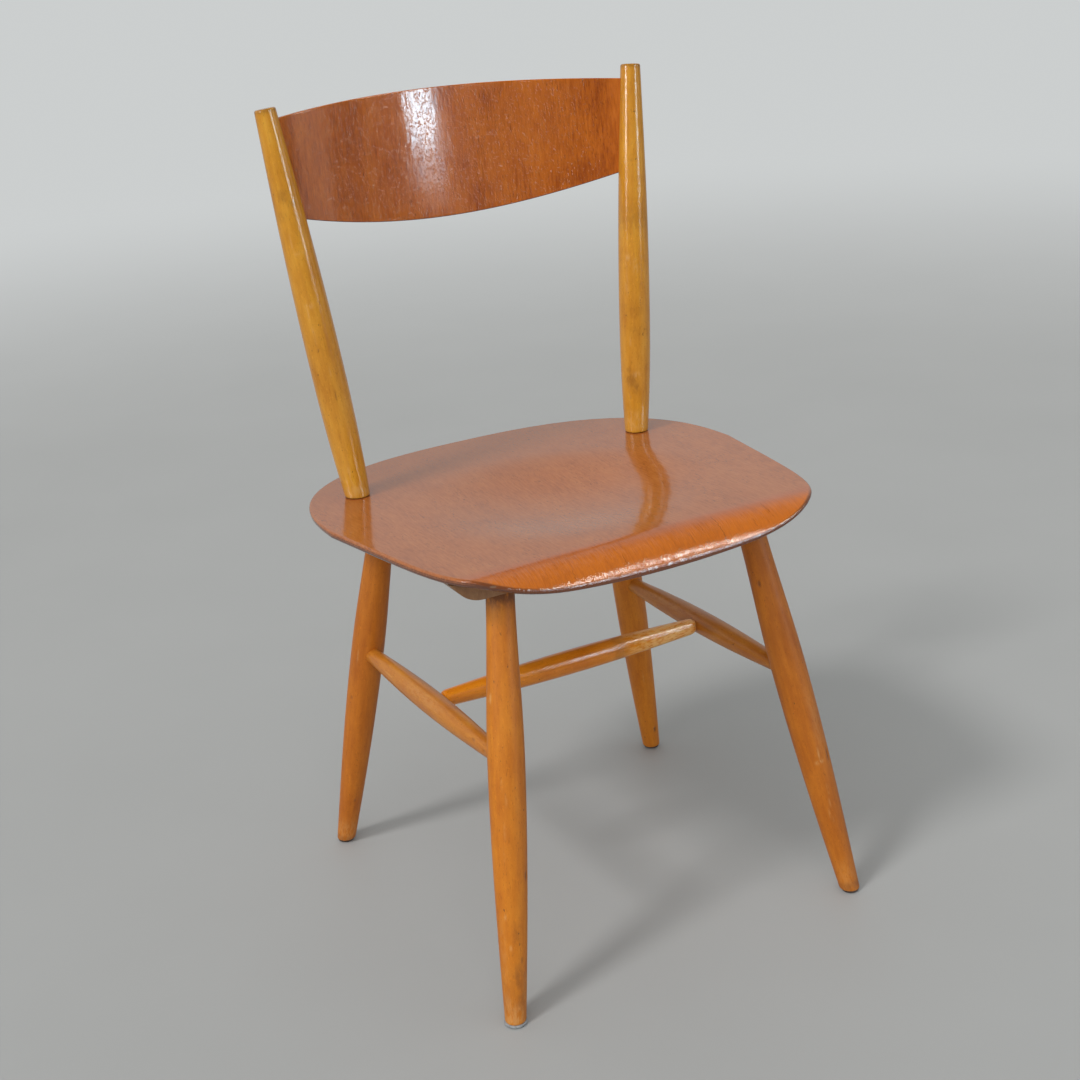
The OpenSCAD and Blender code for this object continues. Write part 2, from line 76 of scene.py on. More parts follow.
GLIDE_T, GLIDE_D, GREY_GLIDE_D = 3.0, 17.0, 21.0
NAIL_D, NAIL_LEN = 2.6, 16.0
FIT_GAP = 0.1

# ---- Fine detail: counts and shares, and sizes in millimetres ----

TURNED_SIDES, GLIDE_SIDES = 96, 64
LEG_RINGS, POST_RINGS, RAIL_RINGS, CROSS_RINGS, EASE_RINGS = 270, 240, 200, 180, 5
# Each step of an eased foot or shoulder: distance in from the side, height above the end
LEG_FOOT_EASE = ((1.2, 0.0), (0.55, 0.15), (0.1, 0.8))
POST_FOOT_EASE = ((0.8, 0.0), (0.2, 0.2), (0.0, 0.8))
FIRST_RING = 1.6
LEG_FADE, POST_FADE = 60, 50
LEG_END_EASE, RAIL_END_EASE, TENON_EASE = 0.6, 0.5, 0.4
RAIL_STRAIGHT = 3.0
POST_BELLY_POWER, POST_TENON_SHORT, POST_DOME = 2.4, 4.0, 0.13
PANEL_EASE, SEAT_EASE_TOP, SEAT_EASE_LOW = 0.9, 2.0, 4.6
CLEAT_EASE = 0.7
GLIDE_SKIN, GLIDE_DOME_R, GLIDE_DOME_H = 0.02, 2.0, 1.6
CHIP_SIZE, CHIP_DEPTH = (4.2, 2.2, 1.3), (0.5, 1.2, -0.7)
DENT_DEPTH, SCRATCH_DEPTH = 0.9, 0.12
SMOOTH_BELOW = math.radians(35)

SEAT_FRONT, SEAT_BACK = -SEAT_D / 2, SEAT_D / 2
WIDE_Y = SEAT_BACK - SEAT_WIDE_INSET
FRONT_LEG_Y, REAR_LEG_Y = SEAT_FRONT + FRONT_LEG_INSET, SEAT_BACK - REAR_LEG_INSET
LEG_X = SEAT_W / 2 - LEG_SIDE_INSET
POST_X, POST_Y = SEAT_W / 2 - POST_SIDE_INSET, SEAT_BACK - POST_BACK_INSET
CENTRE_Y = (FRONT_LEG_Y - FRONT_SPLAY[1] - GREY_GLIDE_D / 2 + SEAT_BACK) / 2


def unit(v):
    return np.asarray(v, float) / np.linalg.norm(v)


# ---- The seat's surface ----


def seat_top(x, y):
    """Height of the seat's top face: nearly level, dished, and rolled down at the front."""
    start = SEAT_FRONT + ROLL_LEN - ROLL_BOW * (2 * x / SEAT_W) ** 2
    steepest = 0.98
    d = np.clip(start - y, 0, steepest * ROLL_R)
    roll = ROLL_R - np.sqrt(ROLL_R**2 - d * d)
    dish_mid = (SEAT_FRONT + DISH_FRONT + SEAT_BACK - DISH_BACK) / 2
    half_d = (SEAT_D - DISH_FRONT - DISH_BACK) / 2
    q = (x / (SEAT_W / 2 - DISH_SIDE)) ** 2 + ((y - dish_mid) / half_d) ** 2
    dish = DISH_DEPTH * np.clip(1 - q, 0, 1) ** 2
    return SEAT_H + SEAT_RISE * (POST_Y - y) - roll - dish


def seat_down(x, y):
    """Downward normal of the seat's top face."""
    step = 0.1
    sx = (seat_top(x + step, y) - seat_top(x - step, y)) / (2 * step)
    sy = (seat_top(x, y + step) - seat_top(x, y - step)) / (2 * step)
    n = np.stack([sx, sy, -np.ones_like(sx)], -1)
    return n / np.linalg.norm(n, axis=-1, keepdims=True)


def seat_under(x, y):
    """Height of the seat's underside."""
    x, y = np.asarray(x, float), np.asarray(y, float)
    return seat_top(x, y) + SEAT_T / seat_down(x, y)[..., 2]


def seat_outline(count):
    """Points of the seat's outline, closer together towards the worn front edge."""
    samples, extra, extra_from, blend = 8001, 1.6, -120, 25
    a = np.linspace(0, 2 * np.pi, samples)
    c, s = np.cos(a), np.sin(a)
    back = s > 0
    n = np.where(back, BACK_SQUARENESS, FRONT_SQUARENESS)
    half = np.where(back, SEAT_BACK - WIDE_Y, WIDE_Y - SEAT_FRONT)
    r = (np.abs(c) ** n + np.abs(s) ** n) ** (-1 / n)
    y = WIDE_Y + half * r * s
    x = SEAT_W / 2 * r * c * np.where(back, 1, 1 - SEAT_TAPER * (WIDE_Y - y) / half)
    density = 1 + extra / (1 + np.exp((y - extra_from) / blend))
    steps = np.hypot(np.diff(x), np.diff(y)) * (density[1:] + density[:-1]) / 2
    along = np.concatenate([[0], np.cumsum(steps)])
    at = np.linspace(0, along[-1], count, endpoint=False)
    return np.interp(at, along, x), np.interp(at, along, y)


# ---- Meshes ----


def mesh_object(name, points, faces, replaces, grain=None, marks=None):
    """A piece from points in millimetres, with the place of each point in the wood's grain."""
    mesh = bpy.data.meshes.new(name)
    placed = (np.asarray(points) - np.array([0, CENTRE_Y, 0])) * MM
    mesh.from_pydata(placed.tolist(), [], faces)
    mesh.update()
    if grain is not None:
        layer = mesh.attributes.new("grain", "FLOAT_VECTOR", "POINT")
        layer.data.foreach_set("vector", (np.asarray(grain) * MM).astype(np.float32).ravel())
    for key, values in (marks or {}).items():
        layer = mesh.attributes.new(key, "FLOAT", "POINT")
        layer.data.foreach_set("value", np.asarray(values, np.float32))
    add_piece(name, mesh, replaces)


def add_piece(name, mesh, replaces):
    """Put a mesh in the scene in place of one CAD node."""
    mesh.shade_smooth()
    mesh.set_sharp_from_angle(angle=SMOOTH_BELOW)
    piece = bpy.data.objects.new(name, mesh)
    bpy.context.scene.collection.objects.link(piece)
    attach(piece, "root")
    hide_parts(replaces)


def ring_faces(rings, count):
    """Quads between closed rings of points."""
    faces = []
    for k in range(rings - 1):
        low, high = k * count, (k + 1) * count
        for i in range(count):
            j = (i + 1) % count
            faces.append((low + i, low + j, high + j, high + i))
    return faces


class Turned:
    """A turned piece about the line from a to b. Angle 0 faces ref, and angles run
    anticlockwise seen from b."""

    def __init__(self, a, b, ref=FRONT):
        self.a, self.b = np.asarray(a, float), np.asarray(b, float)
        self.length = float(np.linalg.norm(self.b - self.a))
        self.axis = unit(self.b - self.a)
        self.e1 = unit(ref - self.axis * np.dot(ref, self.axis))
        self.e2 = np.cross(self.axis, self.e1)

    def cut_height(self, angles, radius, z):
        """Height along the axis at which the surface meets the level plane z."""
        rise = np.cos(angles) * self.e1[2] + np.sin(angles) * self.e2[2]
        return (z - self.a[2] - radius * rise) / self.axis[2]


def turned_mesh(line, rings, count=TURNED_SIDES, cut_z=None):
    """Points and faces of a closed turned body. Each ring is (radius, height, share of
    the level cut's slant); the first and last rings close to a point."""
    angles = np.linspace(0, 2 * np.pi, count, endpoint=False)
    points = []
    for radius, height, slant in rings:
        h = np.full(count, float(height))
        if cut_z is not None and slant > 0:
            centre = line.cut_height(0.0, 0.0, cut_z)
            h = h + slant * (line.cut_height(angles, radius, cut_z) - centre)
        points.append(np.stack([radius * np.cos(angles), radius * np.sin(angles), h], -1))
    local = np.concatenate(points + [[[0, 0, rings[0][1]], [0, 0, rings[-1][1]]]])
    faces = ring_faces(len(rings), count)
    bottom, top = len(local) - 2, len(local) - 1
    end = (len(rings) - 1) * count
    for i in range(count):
        j = (i + 1) % count
        faces.append((bottom, j, i))
        faces.append((top, end + i, end + j))
    return local, faces


def to_world(line, local):
    return (line.a + local[:, :1] * line.e1 + local[:, 1:2] * line.e2
            + local[:, 2:] * line.axis)


def apply_marks(local, marks):
    """Dents, scratches, stains and scuffs; some stain marks are painted shade and one scuff
    mark is painted light. Each mark is (kind, height, angle in degrees, length, width,
    strength); sizes are in millimetres. Returns the moved points, how far each point is
    paled by wear and painted light, and how dark each point is."""
    edge = 1.5
    angle = np.degrees(np.arctan2(local[:, 1], local[:, 0]))
    radius = np.hypot(local[:, 0], local[:, 1])
    worn_and_lit, dark = np.zeros(len(local)), np.zeros(len(local))
    sink = np.zeros(len(local))
    for kind, height, at, length, width, strength in marks:
        turn = np.radians((angle - at + 180) % 360 - 180)
        across = turn * radius
        along = local[:, 2] - height
        near = np.exp(-((2 * along / length) ** 2) ** edge - ((2 * across / width) ** 2) ** edge)
        if kind == "dent":
            sink += DENT_DEPTH * strength * near
            dark = np.maximum(dark, strength * near)
        if kind == "scratch":
            sink += SCRATCH_DEPTH * strength * near
            worn_and_lit = np.maximum(worn_and_lit, strength * near)
        # A stain darkens the wood; some stain marks are painted shade.
        if kind == "stain_and_shade":
            dark = np.maximum(dark, strength * near)
        # A scuff pales the wood; one scuff mark is painted light.
        if kind == "scuff_and_light":
            worn_and_lit = np.maximum(worn_and_lit, strength * near)
    keep = np.where(radius > 1, 1 - sink / np.maximum(radius, 1), 1)
    moved = local.copy()
    moved[:, 0] *= keep
    moved[:, 1] *= keep
    return moved, worn_and_lit, dark


def turned_piece(name, line, rings, marks, seed, cut_z=None):
    """A marked leg, stretcher or post, whose grain starts at a place of its own."""
    local, faces = turned_mesh(line, rings, cut_z=cut_z)
    moved, worn_and_lit, dark = apply_marks(local, marks)
    far = 2000
    grain = local + np.random.default_rng(seed).uniform(-far, far, 3)
    mesh_object(name + "_wood", to_world(line, moved), faces, name, grain,
                {"worn_and_lit": worn_and_lit, "dark": dark})


# ---- Legs ----


def leg_line(side, front):
    """The axis of one leg, from the floor to the cleat's lower face."""
    if front:
        foot = (side * (LEG_X + FRONT_SPLAY[0]), FRONT_LEG_Y - FRONT_SPLAY[1], 0)
        y = FRONT_LEG_Y
    else:
        foot = (side * (LEG_X + REAR_SPLAY[0]), REAR_LEG_Y + REAR_SPLAY[1] - side * REAR_RACK, 0)
        y = REAR_LEG_Y
    head_z = float(seat_under(LEG_X, y)) - CLEAT_GAP - CLEAT_H
    return Turned(foot, (side * LEG_X, y, head_z))


def leg_rings(line):
    """A leg's foot, belly and tenon."""
    front_head_z = float(seat_under(LEG_X, FRONT_LEG_Y)) - CLEAT_GAP - CLEAT_H
    belly = line.length * LEG_BELLY_H / front_head_z
    low = line.cut_height(0.0, 0.0, GLIDE_T)

    def radius(h):
        if h < belly:
            return (LEG_FOOT_D + (LEG_D - LEG_FOOT_D) * math.sin(math.pi / 2 * h / belly)) / 2
        s = min((h - belly) / (line.length - belly), 1)
        return (LEG_TOP_D + (LEG_D - LEG_TOP_D) * (1 + math.cos(math.pi * s)) / 2) / 2

    foot_r = radius(low)
    rings = [(foot_r * f, low, 1) for f in (0.15, 0.45, 0.75)]
    rings += [(foot_r - inset, low + up, 1) for inset, up in LEG_FOOT_EASE]
    for h in np.linspace(low + FIRST_RING, line.length, LEG_RINGS):
        rings.append((radius(h), h, max(0, 1 - (h - low) / LEG_FADE)))
    top, top_r = line.length + LEG_TENON, LEG_TOP_D / 2
    rings += [(top_r, top - LEG_END_EASE, 0), (top_r - LEG_END_EASE, top, 0)]
    rings += [(top_r * f, top, 0) for f in (0.6, 0.2)]
    return rings


# (kind, height, angle in degrees, length, width, strength)
LEG_MARKS = {
    "front_left_leg": [
        ("scuff_and_light", 8, -40, 26, 24, 0.6), ("scuff_and_light", 18, -75, 26, 14, 0.45),
        ("scuff_and_light", 60, -70, 90, 8, 0.2), ("scuff_and_light", 34, 40, 40, 12, 0.3),
        ("stain_and_shade", 30, -20, 60, 70, 0.22), ("stain_and_shade", 46, -8, 26, 9, 0.5),
        ("stain_and_shade", 24, 5, 22, 8, 0.5), ("stain_and_shade", 88, -10, 20, 8, 0.3),
        ("scratch", 304, -78, 9, 2.6, 0.9), ("scratch", 300, -84, 5, 3, 0.9),
        ("scratch", 227, -45, 10, 1.6, 0.5), ("scratch", 213, -32, 12, 1.4, 0.4),
        ("scratch", 184, -40, 14, 1.4, 0.4), ("scratch", 163, -45, 12, 1.6, 0.5),
        ("scratch", 104, -53, 6, 2.5, 0.6), ("scratch", 75, -36, 5, 2.5, 0.6),
        ("dent", 140, 38, 8, 4, 0.8), ("dent", 62, 12, 6, 3, 0.6),
        # The dark top of this leg is painted shadow of the seat.
        ("stain_and_shade", 398, -30, 26, 900, 1.0),
    ],
    "front_right_leg": [
        ("dent", 341, -55, 6, 3, 1.0), ("scratch", 149, -14, 4, 8, 0.9),
        ("scratch", 158, -10, 12, 1.8, 0.8),
        ("scratch", 118, -10, 10, 1.6, 0.6), ("scratch", 104, -16, 10, 1.4, 0.5),
        ("scratch", 92, -28, 12, 1.6, 0.4), ("scratch", 84, -20, 10, 1.4, 0.4),
        ("scuff_and_light", 18, -20, 36, 20, 0.25), ("dent", 152, 30, 14, 2.5, 0.8),
        ("scuff_and_light", 190, 20, 60, 14, 0.25), ("stain_and_shade", 8, 0, 10, 40, 0.5),
    ],
    "rear_left_leg": [
        ("dent", 186, -69, 5, 3, 0.6), ("dent", 58, -3, 4, 2.5, 0.7),
        ("scuff_and_light", 15, -30, 30, 30, 0.35), ("scratch", 236, -60, 18, 1.6, 0.5),
        ("stain_and_shade", 6, -30, 8, 50, 0.4),
    ],
    "rear_right_leg": [
        ("dent", 30, 9, 7, 4, 1.0), ("scratch", 16, 42, 34, 1.8, 0.7),
        ("scratch", 110, -20, 16, 1.6, 0.4), ("scuff_and_light", 20, 150, 40, 20, 0.5),
    ],
}


def build_leg(name, side, front, seed):
    line = leg_line(side, front)
    turned_piece(name, line, leg_rings(line), LEG_MARKS[name], seed, GLIDE_T)


# ---- Stretchers ----


def leg_point(side, front, z):
    line = leg_line(side, front)
    return line.a + (line.b - line.a) * z / line.b[2]


def rail_points(side):
    return leg_point(side, True, RAIL_FRONT_H), leg_point(side, False, RAIL_REAR_H)


def barrel(s, end_d, mid_d):
    """Radius of a stretcher at the share s of its length."""
    return (end_d + (mid_d - end_d) * math.sin(math.pi * s)) / 2


def build_side_stretcher(name, side, seed):
    a, b = rail_points(side)
    way = unit(b - a)
    line = Turned(a + way * RAIL_INSET, b - way * RAIL_INSET, UP)
    plain = LEG_D / 2 - RAIL_INSET + RAIL_STRAIGHT
    end_r, ease, first = RAIL_END_D / 2, RAIL_END_EASE, 1.5
    rings = [(end_r * f, 0, 0) for f in (0.3, 0.7)] + [(end_r - ease, 0, 0), (end_r, ease, 0)]
    for h in np.linspace(first, line.length - first, RAIL_RINGS):
        s = (h - plain) / (line.length - 2 * plain)
        rings.append((barrel(min(max(s, 0), 1), RAIL_END_D, RAIL_D), h, 0))
    end = line.length
    rings += [(end_r, end - ease, 0), (end_r - ease, end, 0)]
    rings += [(end_r * f, end, 0) for f in (0.7, 0.3)]
    turned_piece(name, line, rings, RAIL_MARKS[name], seed)


def build_cross_stretcher(name, seed):
    mids = []
    for side in (LEFT, RIGHT):
        a, b = rail_points(side)
        mids.append(a + (b - a) * CROSS_AT)
    way = unit(mids[1] - mids[0])
    start = RAIL_D / 2 + FIT_GAP
    line = Turned(mids[0] + way * start, mids[1] - way * start, UP)
    tenon, ease, neck, first, steps = start - CROSS_INSET, TENON_EASE, 0.05, 1.5, 10
    tr, er, end = CROSS_TENON_D / 2, CROSS_END_D / 2, line.length
    rings = [(tr * 0.5, -tenon, 0), (tr - ease, -tenon, 0), (tr, ease - tenon, 0), (tr, -neck, 0)]
    for t in np.linspace(0, math.pi / 2, steps):
        rings.append((tr + (er - tr) * math.sin(t), CROSS_ROUND * (1 - math.cos(t)), 0))
    for h in np.linspace(CROSS_ROUND + first, end - CROSS_ROUND - first, CROSS_RINGS):
        s = (h - CROSS_ROUND) / (end - 2 * CROSS_ROUND)
        rings.append((barrel(s, CROSS_END_D, CROSS_D), h, 0))
    for t in np.linspace(math.pi / 2, 0, steps):
        rings.append((tr + (er - tr) * math.sin(t), end - CROSS_ROUND * (1 - math.cos(t)), 0))
    rings += [(tr, end + neck, 0), (tr, end + tenon - ease, 0), (tr - ease, end + tenon, 0)]
    rings += [(tr * 0.5, end + tenon, 0)]
    turned_piece(name, line, rings, RAIL_MARKS[name], seed)


# ---- Posts ----


def shoulder_z():
    """Highest point of the seat under a post's shoulder."""
    a = np.radians(np.arange(0, 360, 30))
    r = POST_FOOT_D / 2
    return float(seat_top(POST_X + r * np.cos(a), POST_Y + r * np.sin(a)).max())


POST_MARKS = {
    "left_back_post": [
        ("scuff_and_light", 8, -10, 14, 40, 0.7), ("scuff_and_light", 24, -30, 30, 3, 0.5),
        ("scratch", 196, -30, 5, 8, 0.9), ("scratch", 190, -38, 12, 1.6, 0.7),
        ("scratch", 168, -36, 16, 1.5, 0.7), ("scratch", 255, -40, 18, 1.5, 0.6),
        ("scratch", 246, -22, 3, 10, 0.5), ("scratch", 128, -12, 14, 1.4, 0.5),
        ("dent", 152, -34, 3, 2, 0.8), ("dent", 106, -10, 10, 1.6, 0.7),
        ("stain_and_shade", 380, 0, 8, 900, 0.6), ("stain_and_shade", 300, -30, 12, 10, 0.35),
        ("stain_and_shade", 292, 0, 8, 8, 0.3), ("stain_and_shade", 282, -60, 10, 14, 0.2),
    ],
    "right_back_post": [
        ("stain_and_shade", 380, 0, 8, 900, 0.6), ("stain_and_shade", 56, -50, 16, 12, 0.5),
        ("stain_and_shade", 48, -30, 12, 8, 0.45), ("stain_and_shade", 64, -60, 14, 6, 0.4),
        ("stain_and_shade", 225, -20, 26, 60, 0.26), ("stain_and_shade", 130, -35, 16, 26, 0.18),
        ("stain_and_shade", 108, -25, 12, 20, 0.15),
        ("scuff_and_light", 182, -55, 12, 6, 0.8), ("scuff_and_light", 176, -25, 16, 5, 0.6), ("scuff_and_light", 156, -60, 26, 4, 0.5),
        ("scuff_and_light", 62, -28, 6, 8, 0.7), ("scuff_and_light", 12, -20, 20, 60, 0.6),
        ("scratch", 96, -50, 14, 1.5, 0.5), ("scratch", 140, -10, 12, 1.4, 0.5),
        ("dent", 284, -40, 3, 8, 0.25),
    ],
}
RAIL_MARKS = {
    "left_side_stretcher": [("dent", 45, -60, 6, 3, 0.5), ("scuff_and_light", 150, -50, 90, 12, 0.35),
                            ("scratch", 232, -70, 22, 1.5, 0.6), ("dent", 24, -80, 5, 3, 0.6)],
    "right_side_stretcher": [("scuff_and_light", 190, -40, 120, 14, 0.3), ("stain_and_shade", 120, -60, 30, 10, 0.25)],
    # On the cross stretcher the wide pale mark over its right third is painted light; a narrow band just
    # left of it is darkened.
    "cross_stretcher": [("scuff_and_light", 288, 60, 20, 12, 0.4), ("dent", 292, 70, 8, 2, 0.7),
                        ("scuff_and_light", 262, 0, 110, 500, 1.0), ("stain_and_shade", 196, 0, 16, 500, 0.35),
                        ("scratch", 120, 60, 20, 1.5, 0.4)],
}


def build_post(name, side, seed):
    top = (side * (POST_X + POST_SPREAD), POST_Y + POST_LEAN, POST_H)
    line = Turned((side * POST_X, POST_Y, SEAT_H), top)
    cut_z = shoulder_z() + SHOULDER_GAP
    low = line.cut_height(0.0, 0.0, cut_z)

    def radius(h):
        if h < POST_BELLY_H:
            s = max(h, 0) / POST_BELLY_H
            return (POST_FOOT_D + (POST_D - POST_FOOT_D) * (1 - (1 - s) ** POST_BELLY_POWER)) / 2
        s = min((h - POST_BELLY_H) / (line.length - POST_ROUND - POST_BELLY_H), 1)
        return (POST_TOP_D + (POST_D - POST_TOP_D) * math.cos(math.pi / 2 * s)) / 2

    rear_cleat_z = float(seat_under(LEG_X, REAR_LEG_Y)) - CLEAT_GAP - CLEAT_H
    start = (rear_cleat_z + POST_TENON_SHORT - SEAT_H) / line.axis[2]
    tr, foot_r = POST_TENON_D / 2, radius(low)
    rings = [(tr * 0.5, start, 0), (tr - TENON_EASE, start, 0), (tr, start + TENON_EASE, 0)]
    rings += [(tr, low, 1)]
    rings += [(foot_r - inset, low + up, 1) for inset, up in POST_FOOT_EASE]
    for h in np.linspace(low + FIRST_RING, line.length - POST_ROUND, POST_RINGS):
        rings.append((radius(h), h, max(0, 1 - (h - low) / POST_FADE)))
    top_r = POST_TOP_D / 2
    for t in np.linspace(0.2, 1, EASE_RINGS) * math.pi / 2:
        inset, below = POST_ROUND * (1 - math.cos(t)), POST_ROUND * (1 - math.sin(t))
        rings.append((top_r - inset, line.length - below, 0))
    rings += [(top_r * f, line.length + POST_DOME * (1 - f), 0) for f in (0.65, 0.3)]
    turned_piece(name, line, rings, POST_MARKS[name], seed, cut_z)


# ---- Back panel ----


def build_panel():
    """The curved back panel, leaning with the posts and bellied at its lower edge."""
    tilt = math.atan(POST_LEAN / (POST_H - SEAT_H))
    spread = POST_SPREAD / (POST_H - SEAT_H) * math.cos(tilt)
    top = (POST_H - PANEL_BELOW_TOP - SEAT_H) / math.cos(tilt)
    low = top - PANEL_END_H / math.cos(tilt)
    chord = POST_X + spread * (top + low) / 2
    radius = (chord**2 + PANEL_BOW**2) / (2 * PANEL_BOW)
    centre = PANEL_OFFSET + PANEL_BOW - radius
    across, up, edge_steps = 361, 90, 7
    ease = PANEL_EASE
    # Up the front face, over the top edge, down the back face and round the lower edge.
    # Each row: share of the height, inset from the edge, distance from the middle layer
    turn = np.linspace(0, math.pi / 2, EASE_RINGS)
    half = PANEL_T / 2
    shape = [(v, ease, -half) for v in np.linspace(0, 1, up)]
    shape += [(1, ease * (1 - math.sin(t)), -half + ease * (1 - math.cos(t))) for t in turn[1:]]
    shape += [(1, 0, d) for d in np.linspace(-half + ease, half - ease, edge_steps)[1:-1]]
    shape += [(1, ease * (1 - math.cos(t)), half - ease * (1 - math.sin(t))) for t in turn]
    shape += [(v, ease, half) for v in np.linspace(1, 0, up)[1:]]
    shape += [(0, ease * (1 - math.sin(t)), half - ease * (1 - math.cos(t))) for t in turn[1:]]
    shape += [(0, 0, d) for d in np.linspace(half - ease, -half + ease, edge_steps)[1:-1]]
    shape += [(0, ease * (1 - math.cos(t)), -half + ease * (1 - math.sin(t))) for t in turn[:-1]]
    rings = []
    for value in np.linspace(-1, 1, across):
        z_low = low - PANEL_BELLY * (1 - value**2)
        z_top = top + PANEL_CROWN * (1 - value**2)
        ring = []
        for v, inset, d in shape:
            z = (z_low + inset) + v * (z_top - z_low - 2 * inset)
            x = value * (POST_X + spread * z - PANEL_SHORT)
            y = centre + math.sqrt((radius + d) ** 2 - x * x)
            ring.append((x, y, z, d, math.asin(x / radius) * radius))
        rings.append(ring)
    data = np.array(rings)
    count = data.shape[1]
    x, y, z = data[..., 0], data[..., 1], data[..., 2]
    middle = (top + low) / 2
    a = math.radians(PANEL_SKEW)
    x2 = x * math.cos(a) + (z - middle) * math.sin(a)
    z2 = -x * math.sin(a) + (z - middle) * math.cos(a) + middle
    y3 = y * math.cos(tilt) + z2 * math.sin(tilt)
    z3 = -y * math.sin(tilt) + z2 * math.cos(tilt)
    points = np.stack([x2, y3 + POST_Y, z3 + SEAT_H], -1).reshape(-1, 3)
    grain = np.stack([data[..., 4], data[..., 3], z], -1).reshape(-1, 3)
    faces = ring_faces(across, count)
    ends = []
    for k in (0, across - 1):
        ends.append(points[k * count:(k + 1) * count].mean(0))
    points = np.concatenate([points, ends])
    grain = np.concatenate([grain, np.zeros((2, 3))])
    n = across * count
    for i in range(count):
        j = (i + 1) % count
        faces.append((n, j, i))
        faces.append((n + 1, (across - 1) * count + i, (across - 1) * count + j))
    ply = np.concatenate([(data[..., 3] / PANEL_T + 0.5).ravel(), [0.5, 0.5]])
    plain = np.zeros(len(ply))
    # Painted shade along the panel's lower edge.
    low_edge_shade = 0.9
    low_edge = np.array([v == 0 and d > -half for v, inset, d in shape], float)
    grime_and_shade = np.concatenate([np.tile(low_edge_shade * low_edge, across), [0.0, 0.0]])
    marks = {"ply": ply, "rim": plain, "chip": plain, "grime_and_shade": grime_and_shade}
    mesh_object("back_panel_veneered", points, faces, "back_panel", grain, marks)


# ---- Seat ----


def ramp01(value, start, width):
    """0 up to start, and 1 from start + width on."""
    return np.clip((value - start) / width, 0, 1)


def ring_shares(limit):
    """Shares of the outline for the rings of one face, closer together near its edge."""
    inner, outer, few, many, crowding = 0.04, 0.8, 22, 40, 0.8
    near_edge = outer + (limit - outer) * np.linspace(0, 1, many)[1:-1] ** crowding
    return np.concatenate([np.linspace(inner, outer, few), near_edge])


def build_seat():
    """The moulded seat, in rings from the middle of its top round the edge to its underside."""
    count, edge_rings = 620, 9
    ox, oy = seat_outline(count)
    reach = SEAT_W / 2
    ease_top, ease_low = SEAT_EASE_TOP, SEAT_EASE_LOW
    turn = np.linspace(0, math.pi / 2, EASE_RINGS)
    rings = [(f, 0.0) for f in ring_shares(1 - ease_top / reach)]
    rings += [(1 - ease_top * (1 - math.sin(t)) / reach, ease_top * (1 - math.cos(t))) for t in turn]
    rings += [(1, d) for d in np.linspace(ease_top, SEAT_T - ease_low, edge_rings)[1:-1]]
    for t in turn:
        rings.append((1 - ease_low * (1 - math.cos(t)) / reach, SEAT_T - ease_low * (1 - math.sin(t))))
    rings += [(f, SEAT_T) for f in ring_shares(1 - ease_low / reach)[::-1]]
    points, grain, ply = [], [], []
    longest_drop = 40
    for share, depth in rings:
        x, y = ox * share, WIDE_Y + (oy - WIDE_Y) * share
        p = np.stack([x, y, seat_top(x, y)], -1) + depth * seat_down(x, y)
        points.append(p)
        arc = y - np.clip(SEAT_H - p[:, 2], 0, longest_drop)
        grain.append(np.stack([x, np.full(count, depth), arc], -1))
        ply.append(np.full(count, depth / SEAT_T))
    points, grain = np.concatenate(points), np.concatenate(grain)
    ply = np.concatenate(ply + [[0, 1]])
    centre = np.array([[0, WIDE_Y, seat_top(np.zeros(1), np.full(1, WIDE_Y))[0]]])
    points = np.concatenate([points, centre, centre - [[0, 0, SEAT_T]]])
    grain = np.concatenate([grain, [[0, 0, WIDE_Y]], [[0, SEAT_T, WIDE_Y]]])
    # Rings run from the top's middle outwards, so each quad is turned to face out
    faces = [tuple(reversed(f)) for f in ring_faces(len(rings), count)]
    top, low = len(points) - 2, len(points) - 1
    end = (len(rings) - 1) * count
    for i in range(count):
        j = (i + 1) % count
        faces.append((top, i, j))
        faces.append((low, end + j, end + i))
    # A chip broken out of the rim at the front left corner
    chip_at = np.array([-166.1, -180.0 + CENTRE_Y, 414.3])
    chip = np.exp(-(((points - chip_at) / CHIP_SIZE) ** 2).sum(1) ** 1.5)
    ragged = 0.75 + 0.25 * np.sin(3.1 * points[:, 0]) * np.cos(2.3 * points[:, 1])
    points += np.outer(chip * ragged, CHIP_DEPTH)
    # Wear of the upper rim, and painted shade along the front lip and round the lower rim
    share = np.concatenate([np.full(count, r[0]) for r in rings] + [[0, 0]])
    upper = ply < 0.5
    rim = ramp01(share, 0.985, 0.006) * upper
    lip = 0.85 * ramp01(-points[:, 1], 165, 20) * ramp01(share, 0.9895, 0.003) * upper
    under = 0.75 * (share > 0.97) * ramp01(ply, 0.45, 0.3)
    marks = {"ply": ply, "rim": rim, "chip": chip, "grime_and_shade": np.maximum(under, lip)}
    mesh_object("seat_veneered", points, faces, "seat", grain, marks)


# ---- Cleats and glides ----

CLEATS = ("front_cleat", "rear_cleat")


def build_cleats():
    """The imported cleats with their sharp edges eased."""
    welded, flat, edge = 1e-6, math.radians(0.3), math.radians(30)
    for name in CLEATS:
        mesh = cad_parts[name].data.copy()
        mesh.materials.clear()
        work = bmesh.new()
        work.from_mesh(mesh)
        bmesh.ops.remove_doubles(work, verts=work.verts, dist=welded)
        bmesh.ops.dissolve_limit(work, angle_limit=flat, verts=work.verts, edges=work.edges)
        sharp = [e for e in work.edges if e.is_manifold and e.calc_face_angle() > edge]
        bmesh.ops.bevel(work, geom=sharp, offset=CLEAT_EASE * MM, segments=3, profile=0.5,
                        affect="EDGES", clamp_overlap=True)
        bmesh.ops.triangulate(work, faces=work.faces)
        work.to_mesh(mesh)
        work.free()
        add_piece(name + "_eased", mesh, name)


